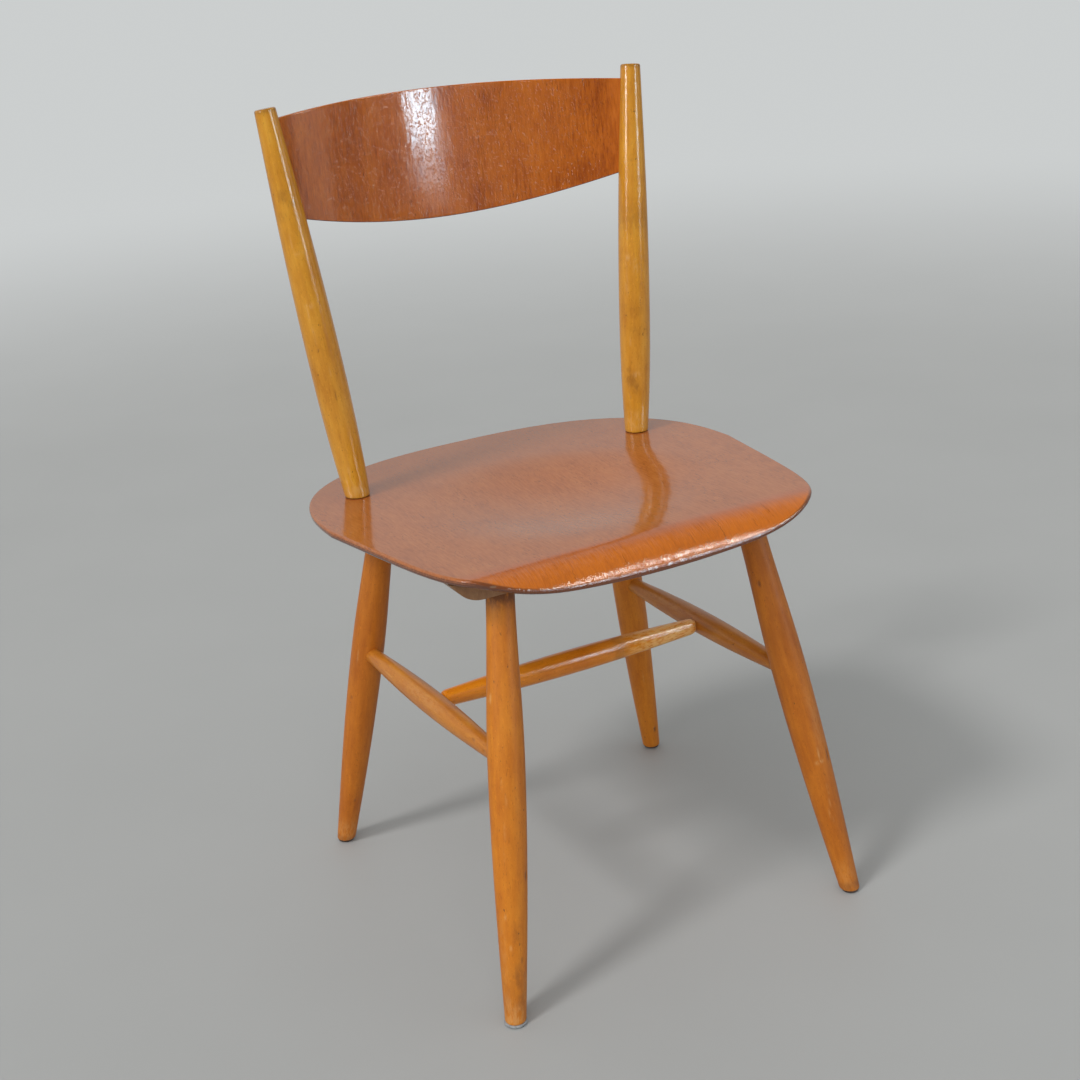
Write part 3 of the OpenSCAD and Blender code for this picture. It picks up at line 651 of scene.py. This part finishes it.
def build_glides():
    """Domed plastic discs, each in one piece with its nail."""
    for side, front, name, diameter, slot in (
            (LEFT, True, "front_left_glide", GREY_GLIDE_D, "grey_glide"),
            (RIGHT, True, "front_right_glide", GLIDE_D, "dark_glide"),
            (LEFT, False, "rear_left_glide", GLIDE_D, "dark_glide"),
            (RIGHT, False, "rear_right_glide", GLIDE_D, "dark_glide")):
        foot = leg_line(side, front).a
        line = Turned(foot, foot + UP)
        r, top, nail_r = diameter / 2 - GLIDE_SKIN, GLIDE_T - FIT_GAP, NAIL_D / 2
        rings = [(r * f, 0, 0) for f in (0.2, 0.45, 0.7)]
        for t in np.linspace(0, math.pi / 2, 9):
            inset, up = GLIDE_DOME_R * (1 - math.sin(t)), GLIDE_DOME_H * (1 - math.cos(t))
            rings.append((r - inset, up, 0))
        rings += [(r, top - 0.5, 0), (r - 0.15, top - 0.15, 0), (r - 0.5, top, 0), (r * 0.6, top, 0)]
        tip = GLIDE_T + NAIL_LEN
        rings += [(nail_r + 0.4, top, 0), (nail_r, top + 0.4, 0)]
        rings += [(nail_r, h, 0) for h in np.linspace(top + 1, tip - 3.5, 6)]
        rings += [(nail_r * 0.6, tip - 1.6, 0), (0.15, tip - 0.1, 0)]
        local, faces = turned_mesh(line, rings, count=GLIDE_SIDES)
        mesh_object(name + "_domed", to_world(line, local), faces, name)


# ---- Materials ----

# Colours of marks; the second colour on the next line is painted shade for lower edges.
PLY_SHADOW, PAINTED_EDGE_SHADE, CRACK = (0.09, 0.03, 0.014), (0.10, 0.032, 0.016), (0.08, 0.026, 0.010)
WORN_RIM, CHIPPED_WOOD = (0.42, 0.17, 0.07), (0.66, 0.47, 0.30)
DARK_MARK_AND_SHADE, SPOT, BARE_BEECH = (0.11, 0.035, 0.012), (0.07, 0.03, 0.012), (0.66, 0.38, 0.14)


class Graph:
    """One material's nodes. Inputs may be plain values or sockets of other nodes."""

    def __init__(self, name):
        self.material = bpy.data.materials.new(name)
        self.material.use_nodes = True
        self.tree = self.material.node_tree
        self.tree.nodes.clear()

    def node(self, kind, inputs=None, **settings):
        made = self.tree.nodes.new("ShaderNode" + kind)
        for key, value in settings.items():
            setattr(made, key, value)
        for key, value in (inputs or {}).items():
            self.put(made.inputs[key], value)
        return made

    def put(self, socket, value):
        if isinstance(value, bpy.types.NodeSocket):
            self.tree.links.new(value, socket)
        else:
            socket.default_value = value

    def attribute(self, name, output="Vector"):
        return self.node("Attribute", attribute_name=name).outputs[output]

    def stretch(self, vector, x, y, z):
        """A place in the grain, with one scale for each direction."""
        return self.node("VectorMath", {0: vector, 1: (x, y, z)}, operation="MULTIPLY").outputs[0]

    def noise(self, vector, scale=1.0, detail=3.0, rough=0.55, distort=0.0):
        inputs = {"Vector": vector, "Scale": scale, "Detail": detail, "Roughness": rough,
                  "Distortion": distort}
        return self.node("TexNoise", inputs).outputs["Fac"]

    def math(self, operation, a, b=0.0, clamp=False):
        return self.node("Math", {0: a, 1: b}, operation=operation, use_clamp=clamp).outputs[0]

    def rise(self, value, low, high, to_low=0.0, to_high=1.0):
        """Smooth step from to_low to to_high as value goes from low to high."""
        inputs = {"Value": value, "From Min": low, "From Max": high, "To Min": to_low,
                  "To Max": to_high}
        return self.node("MapRange", inputs, interpolation_type="SMOOTHSTEP").outputs["Result"]

    def mix(self, factor, a, b):
        made = self.node("Mix", data_type="RGBA")
        for key, value in ((0, factor), (6, a), (7, b)):
            if key and isinstance(value, tuple) and len(value) == 3:
                value = (*value, 1.0)
            self.put(made.inputs[key], value)
        return made.outputs[2]

    def ramp(self, factor, stops):
        made = self.node("ValToRGB", {"Fac": factor})
        ramp = made.color_ramp
        while len(ramp.elements) < len(stops):
            ramp.elements.new(0.5)
        for element, (place, colour) in zip(ramp.elements, stops):
            element.position = place
            element.color = (*colour, 1.0)
        return made.outputs["Color"]

    def bump(self, height, strength, distance, normal=None):
        """Relief from a height, added to another bump where one is given."""
        inputs = {"Height": height, "Strength": strength, "Distance": distance}
        if normal is not None:
            inputs["Normal"] = normal
        return self.node("Bump", inputs).outputs[0]

    def finish(self, **inputs):
        """Close the material with a Principled shader; Base_Color sets "Base Color"."""
        shader = self.node("BsdfPrincipled", {k.replace("_", " "): v for k, v in inputs.items()})
        out = self.node("OutputMaterial")
        self.tree.links.new(shader.outputs[0], out.inputs["Surface"])
        return self.material


def crack_mask(g, across, along, at, start, end, width):
    """A crooked crack along the grain at one place across it; sizes in metres."""
    stray, core, fade_in, fade_out = 0.006, 0.3, 0.002, 0.004
    wander = g.noise(g.stretch(g.attribute("grain"), 60, 0, 160), detail=3)
    wander = g.math("MULTIPLY", g.math("SUBTRACT", wander, 0.5), stray)
    off = g.math("ABSOLUTE", g.math("SUBTRACT", g.math("ADD", across, wander), at))
    line = g.rise(off, width, core * width)
    begun, not_done = g.rise(along, start - fade_in, start), g.rise(along, end + fade_out, end)
    return g.math("MULTIPLY", line, g.math("MULTIPLY", begun, not_done))


def veneer(name, light, middle, deep, edges, mottling, gloss_level, zones=(), cracks=()):
    """Varnished reddish veneer: fine pores and flecks along the grain, plies at the edge.
    Each zone is (start, end, strength, colour) along the grain, in metres. gloss_level is
    the varnish's roughness, its small pits and its ribs over the rolled edge."""
    coat_rough, pitting, ribs = gloss_level
    g = Graph(name)
    grain = g.attribute("grain")
    bands = g.noise(g.stretch(grain, 45, 45, 7.0), detail=4, distort=0.5)
    streaks = g.noise(g.stretch(grain, 460, 200, 62), detail=4, rough=0.6)
    mottle = g.noise(g.stretch(grain, 22, 22, 17), detail=5, rough=0.65)
    tone = g.math("ADD", g.math("MULTIPLY", bands, 0.20), g.math("MULTIPLY", streaks, 0.80 - mottling))
    tone = g.math("ADD", tone, g.math("MULTIPLY", mottle, mottling))
    colour = g.ramp(tone, [(0.38, deep), (0.5, middle), (0.63, light)])
    pore_noise = g.noise(g.stretch(grain, 1150, 500, 150), detail=2, distort=0.3)
    pores = g.rise(pore_noise, 0.585, 0.67)
    patchy = g.rise(g.noise(g.stretch(grain, 34, 34, 16), detail=2), 0.38, 0.62, 0.2, 1)
    pores = g.math("MULTIPLY", pores, patchy)
    colour = g.mix(g.math("MULTIPLY", pores, 0.62), colour, tuple(0.22 * c for c in deep))
    flecks = g.rise(g.noise(g.stretch(grain, 900, 300, 70), detail=2), 0.60, 0.70)
    colour = g.mix(g.math("MULTIPLY", flecks, 0.15), colour, tuple(1.7 * c for c in light))
    split = g.node("SeparateXYZ", {0: grain}).outputs
    # Zones of colour along the grain; over the seat's roll they are painted light.
    for start, end, strength, shade in zones:
        part = g.math("MULTIPLY", g.rise(split["Z"], start, end), g.rise(tone, 0.3, 0.66, 0.4, 1))
        colour = g.mix(g.math("MULTIPLY", part, strength), colour, shade)
    # Edge of the sheet: light and dark plies between the face veneers
    ply = g.attribute("ply", "Fac")
    layers = g.math("PINGPONG", g.math("MULTIPLY", ply, 7.0), 1.0)
    layers = g.rise(layers, 0.35, 0.65)
    rough_ply = g.noise(g.stretch(grain, 500, 900, 500), detail=3)
    edge_colour = g.mix(layers, edges[0], edges[1])
    edge_colour = g.mix(g.math("MULTIPLY", rough_ply, 0.6), edge_colour, PLY_SHADOW)
    inside = g.math("MULTIPLY", g.rise(ply, 0.22, 0.30), g.rise(ply, 0.92, 0.88))
    colour = g.mix(inside, colour, edge_colour)
    rubbed = g.rise(g.noise(g.stretch(grain, 500, 500, 500), detail=3), 0.45, 0.62)
    rim = g.math("MULTIPLY", g.attribute("rim", "Fac"), rubbed)
    colour = g.mix(g.math("MULTIPLY", rim, 0.4), colour, WORN_RIM)
    colour = g.mix(g.rise(g.attribute("chip", "Fac"), 0.3, 0.6), colour, CHIPPED_WOOD)
    # Painted shade along lower edges and under the seat's front lip.
    colour = g.mix(g.attribute("grime_and_shade", "Fac"), colour, PAINTED_EDGE_SHADE)
    height = g.math("SUBTRACT", g.math("MULTIPLY", streaks, 0.5), g.math("MULTIPLY", pores, 0.8))
    for at, start, end, width, dark in cracks:
        mask = crack_mask(g, split["X"], split["Z"], at, start, end, width)
        colour = g.mix(g.math("MULTIPLY", mask, dark), colour, CRACK)
        height = g.math("SUBTRACT", height, mask)
    normal = g.bump(height, 0.5, 0.0004)
    ripple = g.noise(g.stretch(grain, 60, 60, 20), detail=3)
    pits = g.rise(g.noise(g.stretch(grain, 520, 400, 440), detail=2, rough=0.5), 0.64, 0.53)
    gloss = g.bump(ripple, 0.22, 0.0012)
    gloss = g.bump(pits, pitting, 0.0005, gloss)
    if ribs:
        over_roll = g.rise(split["Z"], -0.168, -0.182, 0.0, ribs)
        ridges = g.rise(g.noise(g.stretch(grain, 560, 200, 40), detail=2), 0.40, 0.60)
        gloss = g.bump(ridges, over_roll, 0.0006, gloss)
    rough = g.rise(mottle, 0.3, 0.7, 0.34, 0.48)
    return g.finish(Base_Color=colour, Roughness=rough, Normal=normal, Specular_IOR_Level=0.0,
                    Coat_Weight=1.0, Coat_Roughness=coat_rough, Coat_IOR=1.6, Coat_Normal=gloss)


def varnished_beech(name, light, middle, deep, coat, rough_low, turned=True, bare_and_lit_tone=BARE_BEECH):
    """Yellowed varnish over beech. Turned pieces bring their own grain and marks: scuffs,
    scratches and dark dents, with painted light and painted shade carried on some of them."""
    g = Graph(name)
    grain = g.attribute("grain") if turned else g.node("TexCoord").outputs["Object"]
    streaks = g.noise(g.stretch(grain, 230, 230, 26), detail=4, distort=0.3)
    mottle = g.noise(g.stretch(grain, 34, 34, 18), detail=5, rough=0.65)
    tone = g.math("ADD", g.math("MULTIPLY", streaks, 0.4), g.math("MULTIPLY", mottle, 0.6))
    colour = g.ramp(tone, [(0.33, deep), (0.5, middle), (0.67, light)])
    rays = g.rise(g.noise(g.stretch(grain, 1000, 1000, 260), detail=2), 0.60, 0.70)
    colour = g.mix(g.math("MULTIPLY", rays, 0.38), colour, tuple(0.5 * c for c in deep))
    glints = g.rise(g.noise(g.stretch(grain, 700, 700, 300), detail=2), 0.62, 0.72)
    colour = g.mix(g.math("MULTIPLY", glints, 0.25), colour, tuple(1.35 * c for c in light))
    spots = g.rise(g.noise(g.stretch(grain, 240, 240, 170), detail=2), 0.715, 0.76)
    colour = g.mix(g.math("MULTIPLY", spots, 0.6), colour, SPOT)
    rough = g.rise(mottle, 0.3, 0.7, rough_low, rough_low + 0.12)
    if turned:
        # Pale worn wood; over the cross stretcher's right third this pale tone is painted light.
        broken = g.rise(g.noise(g.stretch(grain, 420, 420, 130), detail=4), 0.36, 0.56)
        bare_and_lit = g.math("MULTIPLY", g.attribute("worn_and_lit", "Fac"), broken, clamp=True)
        colour = g.mix(g.math("MULTIPLY", bare_and_lit, 0.6), colour, bare_and_lit_tone)
        # Dark dents and stains, and painted shadow at the top of the front left leg.
        blotch = g.rise(g.noise(g.stretch(grain, 300, 300, 150), detail=3), 0.3, 0.55, 0.35, 1)
        dark = g.math("MULTIPLY", g.attribute("dark", "Fac"), blotch)
        colour = g.mix(g.math("MULTIPLY", dark, 0.85), colour, DARK_MARK_AND_SHADE)
        rough = g.math("ADD", rough, g.math("MULTIPLY", bare_and_lit, 0.3))
    normal = g.bump(g.noise(g.stretch(grain, 900, 900, 120), detail=3), 0.25, 0.0003)
    normal = g.bump(g.noise(g.stretch(grain, 170, 170, 90), detail=2), 0.2, 0.0007, normal)
    gloss = g.bump(g.noise(g.stretch(grain, 420, 420, 260), detail=3, rough=0.6), 0.42, 0.0006)
    return g.finish(Base_Color=colour, Roughness=rough, Normal=normal,
                    Specular_IOR_Level=0.35 * (1 - coat), Coat_Weight=coat, Coat_Roughness=0.15,
                    Coat_IOR=1.5, Coat_Normal=gloss)


def plastic(name, colour):
    """Worn plastic of a glide, dull with dirt."""
    rough = 0.45
    g = Graph(name)
    place = g.node("TexCoord").outputs["Object"]
    grime_and_shade = g.noise(place, 220, detail=4)
    shade = g.mix(g.rise(grime_and_shade, 0.4, 0.7), colour, tuple(0.55 * c for c in colour))
    normal = g.bump(g.noise(place, 1800, detail=3), 0.2, 0.0002)
    dulled = g.rise(grime_and_shade, 0.3, 0.7, rough, rough + 0.2)
    return g.finish(Base_Color=shade, Roughness=dulled, Normal=normal)


def steel(name):
    """Slightly tarnished steel of the screws."""
    g = Graph(name)
    place = g.node("TexCoord").outputs["Object"]
    stain_and_shade = g.noise(place, 500, detail=4)
    colour = g.mix(g.rise(stain_and_shade, 0.4, 0.7), (0.45, 0.42, 0.38), (0.20, 0.15, 0.11))
    return g.finish(Base_Color=colour, Metallic=0.9, Roughness=g.rise(stain_and_shade, 0.3, 0.7, 0.32, 0.6))


def dress(piece, material):
    piece.data.materials.clear()
    piece.data.materials.append(material)


# ---- Build ----

build_seat()
build_panel()
build_leg("front_left_leg", LEFT, True, 1)
build_leg("front_right_leg", RIGHT, True, 2)
build_leg("rear_left_leg", LEFT, False, 3)
build_leg("rear_right_leg", RIGHT, False, 4)
build_side_stretcher("left_side_stretcher", LEFT, 11)
build_side_stretcher("right_side_stretcher", RIGHT, 12)
build_cross_stretcher("cross_stretcher", 13)
build_post("left_back_post", LEFT, 21)
build_post("right_back_post", RIGHT, 22)
build_cleats()
build_glides()

# Place across the seat, start, end and width in metres along the grain, darkness
SEAT_CRACKS = ((0.0668, -0.214, -0.178, 0.0005, 0.65), (0.1220, -0.190, -0.176, 0.0004, 0.5),
               (-0.0370, -0.207, -0.196, 0.0005, 0.5), (0.0350, -0.204, -0.190, 0.0004, 0.4),
               (0.1020, -0.205, -0.195, 0.0004, 0.4), (-0.0900, -0.210, -0.200, 0.0005, 0.4))
# Dark back, then a red band before the roll and an orange roll, as veneer() takes them; the band and the
# roll are painted light, the colour the rolled front shows where it faces the light and mirrors less of
# the pale wall
SEAT_ZONES = ((0.02, 0.19, 0.40, (0.13, 0.034, 0.007)),
              (-0.160, -0.173, 0.5, (0.40, 0.080, 0.012)),
              (-0.172, -0.190, 0.75, (0.59, 0.160, 0.014)))
SEAT_EDGES = ((0.17, 0.050, 0.022), (0.28, 0.095, 0.040))
PANEL_EDGES = ((0.50, 0.32, 0.17), (0.80, 0.62, 0.40))
seat_wood = veneer("seat_veneer", (0.40, 0.130, 0.032), (0.35, 0.102, 0.023),
                   (0.28, 0.075, 0.015), SEAT_EDGES, 0.26, (0.10, 0.08, 0.32), SEAT_ZONES,
                   SEAT_CRACKS)
panel_wood = veneer("panel_veneer", (0.55, 0.150, 0.015), (0.44, 0.108, 0.009),
                    (0.29, 0.060, 0.006), PANEL_EDGES, 0.42, (0.10, 0.34, 0.0))
leg_wood = varnished_beech("leg_varnish", (0.62, 0.210, 0.010), (0.54, 0.165, 0.006),
                           (0.44, 0.118, 0.004), 0.0, 0.42)
# A darker copy of the leg varnish for the front right and rear left legs: painted shade of the seat over
# them.
shaded_leg_wood = varnished_beech("shaded_leg_varnish", (0.54, 0.168, 0.010), (0.45, 0.128, 0.006),
                                (0.36, 0.09, 0.004), 0.0, 0.42)
rail_wood = varnished_beech("rail_varnish", (0.56, 0.22, 0.025), (0.47, 0.160, 0.014),
                            (0.38, 0.11, 0.010), 0.35, 0.36)
# A lighter copy of the beech varnish for the cross stretcher: painted light standing in for light that
# reaches it under the seat.
lit_cross_wood = varnished_beech("lit_cross_varnish", (0.82, 0.29, 0.018), (0.72, 0.230, 0.010),
                             (0.61, 0.17, 0.007), 0.7, 0.30, bare_and_lit_tone=(1.0, 0.66, 0.24))
post_wood = varnished_beech("post_varnish", (0.66, 0.32, 0.034), (0.57, 0.245, 0.020),
                            (0.46, 0.175, 0.012), 0.9, 0.3)
cleat_wood = varnished_beech("cleat_varnish", (0.36, 0.185, 0.085), (0.28, 0.14, 0.062),
                             (0.20, 0.095, 0.042), 0.2, 0.45, turned=False)
dark_plastic = plastic("dark_glide", (0.075, 0.045, 0.030))
grey_plastic = plastic("grey_glide", (0.30, 0.31, 0.32))
screw_steel = steel("screw_steel")

FINISHES = {
    "seat_veneered": seat_wood, "back_panel_veneered": panel_wood,
    "front_left_leg_wood": leg_wood, "rear_right_leg_wood": leg_wood,
    "front_right_leg_wood": shaded_leg_wood, "rear_left_leg_wood": shaded_leg_wood,
    "left_side_stretcher_wood": rail_wood, "right_side_stretcher_wood": rail_wood,
    "cross_stretcher_wood": lit_cross_wood,
    "left_back_post_wood": post_wood, "right_back_post_wood": post_wood,
    "front_cleat_eased": cleat_wood, "rear_cleat_eased": cleat_wood,
    "front_left_glide_domed": grey_plastic, "front_right_glide_domed": dark_plastic,
    "rear_left_glide_domed": dark_plastic, "rear_right_glide_domed": dark_plastic,
}
for name, finish in FINISHES.items():
    dress(bpy.data.objects[name], finish)
for name in CLEATS:
    dress(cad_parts[name + "_screws"], screw_steel)


# ---- Stage, lights and camera ----


ROOM_COLOUR, COOL, WARM = (0.97, 1.0, 1.0), (0.62, 0.86, 1.0), (0.92, 0.97, 0.93)
ROOM_LEVEL, ROOM_LIGHT = 0.62, 0.62
WALL_GLOSS, WALL_BASE, ROOM_DIM = 0.67, 0.75, 0.06
FLOOR_HALF, FLOOR_DARK, FLOOR_LIGHT = 8.0, (0.345, 0.345, 0.338), (0.375, 0.375, 0.368)
FADE_START, FADE_END = 1.6, 5.0
WINDOW_CENTRE, WINDOW_DISTANCE, WHITE = Vector((0, 0.1, 0.72)), 3.0, (1.0, 1.0, 1.0)
CAMERA_PLACE, CAMERA_TURN = (-0.72935, -1.36056, 0.94778), (-27.4015, -20.6964, -4.1749)
SENSOR, LENS = 36.0, 55.734


def build_floor():
    """A plain pale floor that, seen directly, fades into the background far away."""
    half = FLOOR_HALF
    corners = [(-half, -half, 0), (half, -half, 0), (half, half, 0), (-half, half, 0)]
    mesh = bpy.data.meshes.new("floor")
    mesh.from_pydata(corners, [], [(0, 1, 2, 3)])
    floor = bpy.data.objects.new("floor", mesh)
    bpy.context.scene.collection.objects.link(floor)
    g = Graph("floor_paint")
    place = g.node("TexCoord").outputs["Object"]
    tone = g.noise(place, 3.0, detail=3)
    colour = g.mix(tone, FLOOR_DARK, FLOOR_LIGHT)
    paint = g.node("BsdfPrincipled", {"Base Color": colour, "Roughness": 0.6})
    away = g.node("VectorMath", {0: place}, operation="LENGTH").outputs["Value"]
    seen = g.node("LightPath").outputs["Is Camera Ray"]
    fade = g.math("MULTIPLY", g.rise(away, FADE_START, FADE_END), seen)
    haze = g.node("Emission", {"Color": (*ROOM_COLOUR, 1.0), "Strength": ROOM_LEVEL})
    blend = g.node("MixShader", {0: fade, 1: paint.outputs[0], 2: haze.outputs[0]})
    out = g.node("OutputMaterial")
    g.tree.links.new(blend.outputs[0], out.inputs["Surface"])
    dress(floor, g.material)


def direction(azimuth, elevation):
    """Azimuth 0 is in front of the chair and 90 to its right; both in degrees."""
    a, e = math.radians(azimuth), math.radians(elevation)
    return Vector((math.sin(a) * math.cos(e), -math.cos(a) * math.cos(e), math.sin(e)))


def sun(name, azimuth, elevation, strength, spread):
    """A soft lamp far away that doesn't show in the varnish."""
    lamp = bpy.data.lights.new(name, "SUN")
    lamp.energy, lamp.angle = strength, math.radians(spread)
    thing = bpy.data.objects.new(name, lamp)
    thing.rotation_euler = direction(azimuth, elevation).to_track_quat("Z", "Y").to_euler()
    thing.visible_glossy = False
    bpy.context.scene.collection.objects.link(thing)


def window(name, azimuth, low, high, wide, radiance, colour):
    """An upright bright panel that only shows in the varnish. It stands at one azimuth
    from the chair's back and covers elevations low to high, and wide degrees across."""
    distance = WINDOW_DISTANCE
    bottom, top = (distance * math.tan(math.radians(e)) for e in (low, high))
    lamp = bpy.data.lights.new(name, "AREA")
    lamp.shape, lamp.color = "RECTANGLE", colour
    lamp.size = 2 * distance * math.tan(math.radians(wide / 2))
    lamp.size_y = top - bottom
    lamp.energy = radiance * math.pi * lamp.size * lamp.size_y
    thing = bpy.data.objects.new(name, lamp)
    flat = direction(azimuth, 0)
    thing.location = WINDOW_CENTRE + flat * distance + Vector((0, 0, (top + bottom) / 2))
    thing.rotation_euler = flat.to_track_quat("Z", "Y").to_euler()
    thing.visible_diffuse = thing.visible_camera = False
    bpy.context.scene.collection.objects.link(thing)


def build_world():
    """Soft even light. Seen directly the room is one pale colour. Mirrored, it is a pale
    wall behind the chair with a darker base, and it is dim in front and overhead."""
    world = bpy.data.worlds.new("room")
    world.use_nodes = True
    tree = world.node_tree
    tree.nodes.clear()

    def add(kind, inputs=None, **settings):
        made = tree.nodes.new("ShaderNode" + kind)
        for key, value in settings.items():
            setattr(made, key, value)
        for key, value in (inputs or {}).items():
            if isinstance(value, bpy.types.NodeSocket):
                tree.links.new(value, made.inputs[key])
            else:
                made.inputs[key].default_value = value
        return made

    def step(value, low, high, to_low, to_high):
        inputs = {"Value": value, "From Min": low, "From Max": high, "To Min": to_low,
                  "To Max": to_high}
        return add("MapRange", inputs, interpolation_type="SMOOTHSTEP").outputs["Result"]

    def times(a, b):
        return add("Math", {0: a, 1: b}, operation="MULTIPLY").outputs[0]

    def choose(factor, a, b):
        return add("Mix", {0: factor, 2: a, 3: b}, data_type="FLOAT").outputs[0]

    rays = add("LightPath")
    split = add("SeparateXYZ", {0: add("TexCoord").outputs["Generated"]})
    behind = step(split.outputs["Y"], 0.02, 0.24, 0.0, 1.0)
    below_ceiling = step(split.outputs["Z"], 0.74, 0.82, 1.0, 0.0)
    above_base = step(split.outputs["Z"], 0.10, 0.42, WALL_BASE, 1.0)
    wall = times(times(behind, below_ceiling), above_base)
    mirrored = choose(wall, ROOM_DIM, WALL_GLOSS)
    soft = choose(rays.outputs["Is Glossy Ray"], ROOM_LIGHT, mirrored)
    level = choose(rays.outputs["Is Camera Ray"], soft, ROOM_LEVEL)
    back = add("Background", {"Color": (*ROOM_COLOUR, 1.0), "Strength": level})
    add("OutputWorld", {0: back.outputs[0]})
    bpy.context.scene.world = world


def build_camera():
    """The camera that was fitted to the chair: where it stands, its yaw, pitch and roll."""
    yaw, pitch, roll = (math.radians(a) for a in CAMERA_TURN)
    level = math.cos(pitch)
    ahead = Vector((-math.sin(yaw) * level, math.cos(yaw) * level, math.sin(pitch)))
    right = Vector((math.cos(yaw), math.sin(yaw), 0))
    up = right.cross(ahead)
    x_axis = right * math.cos(roll) + up * math.sin(roll)
    y_axis = -right * math.sin(roll) + up * math.cos(roll)
    lens = bpy.data.cameras.new("camera")
    lens.sensor_width, lens.lens = SENSOR, LENS
    camera = bpy.data.objects.new("camera", lens)
    bpy.context.scene.collection.objects.link(camera)
    turn = Matrix((x_axis, y_axis, -ahead)).transposed().to_4x4()
    camera.matrix_world = Matrix.Translation(CAMERA_PLACE) @ turn
    bpy.context.scene.camera = camera


build_floor()
build_world()
sun("left_light", -81, 50, 1.35, 12)
sun("front_light", -40, 30, 1.0, 60)
window("right_window", 31, 2.4, 24, 7, 20.0, COOL)
window("right_curtain", 30, 0.2, 24, 10, 3.8, COOL)
window("high_window", 45, 29.5, 35.5, 18, 38.0, WARM)
window("far_window", 68, 4.5, 16, 3, 6.0, WHITE)
window("pale_door", 66, -12, 10, 12, 0.6, WHITE)
window("left_window", -84, 8.5, 24, 8, 34.0, WHITE)
build_camera()
bpy.context.scene.view_settings.view_transform = "Standard"
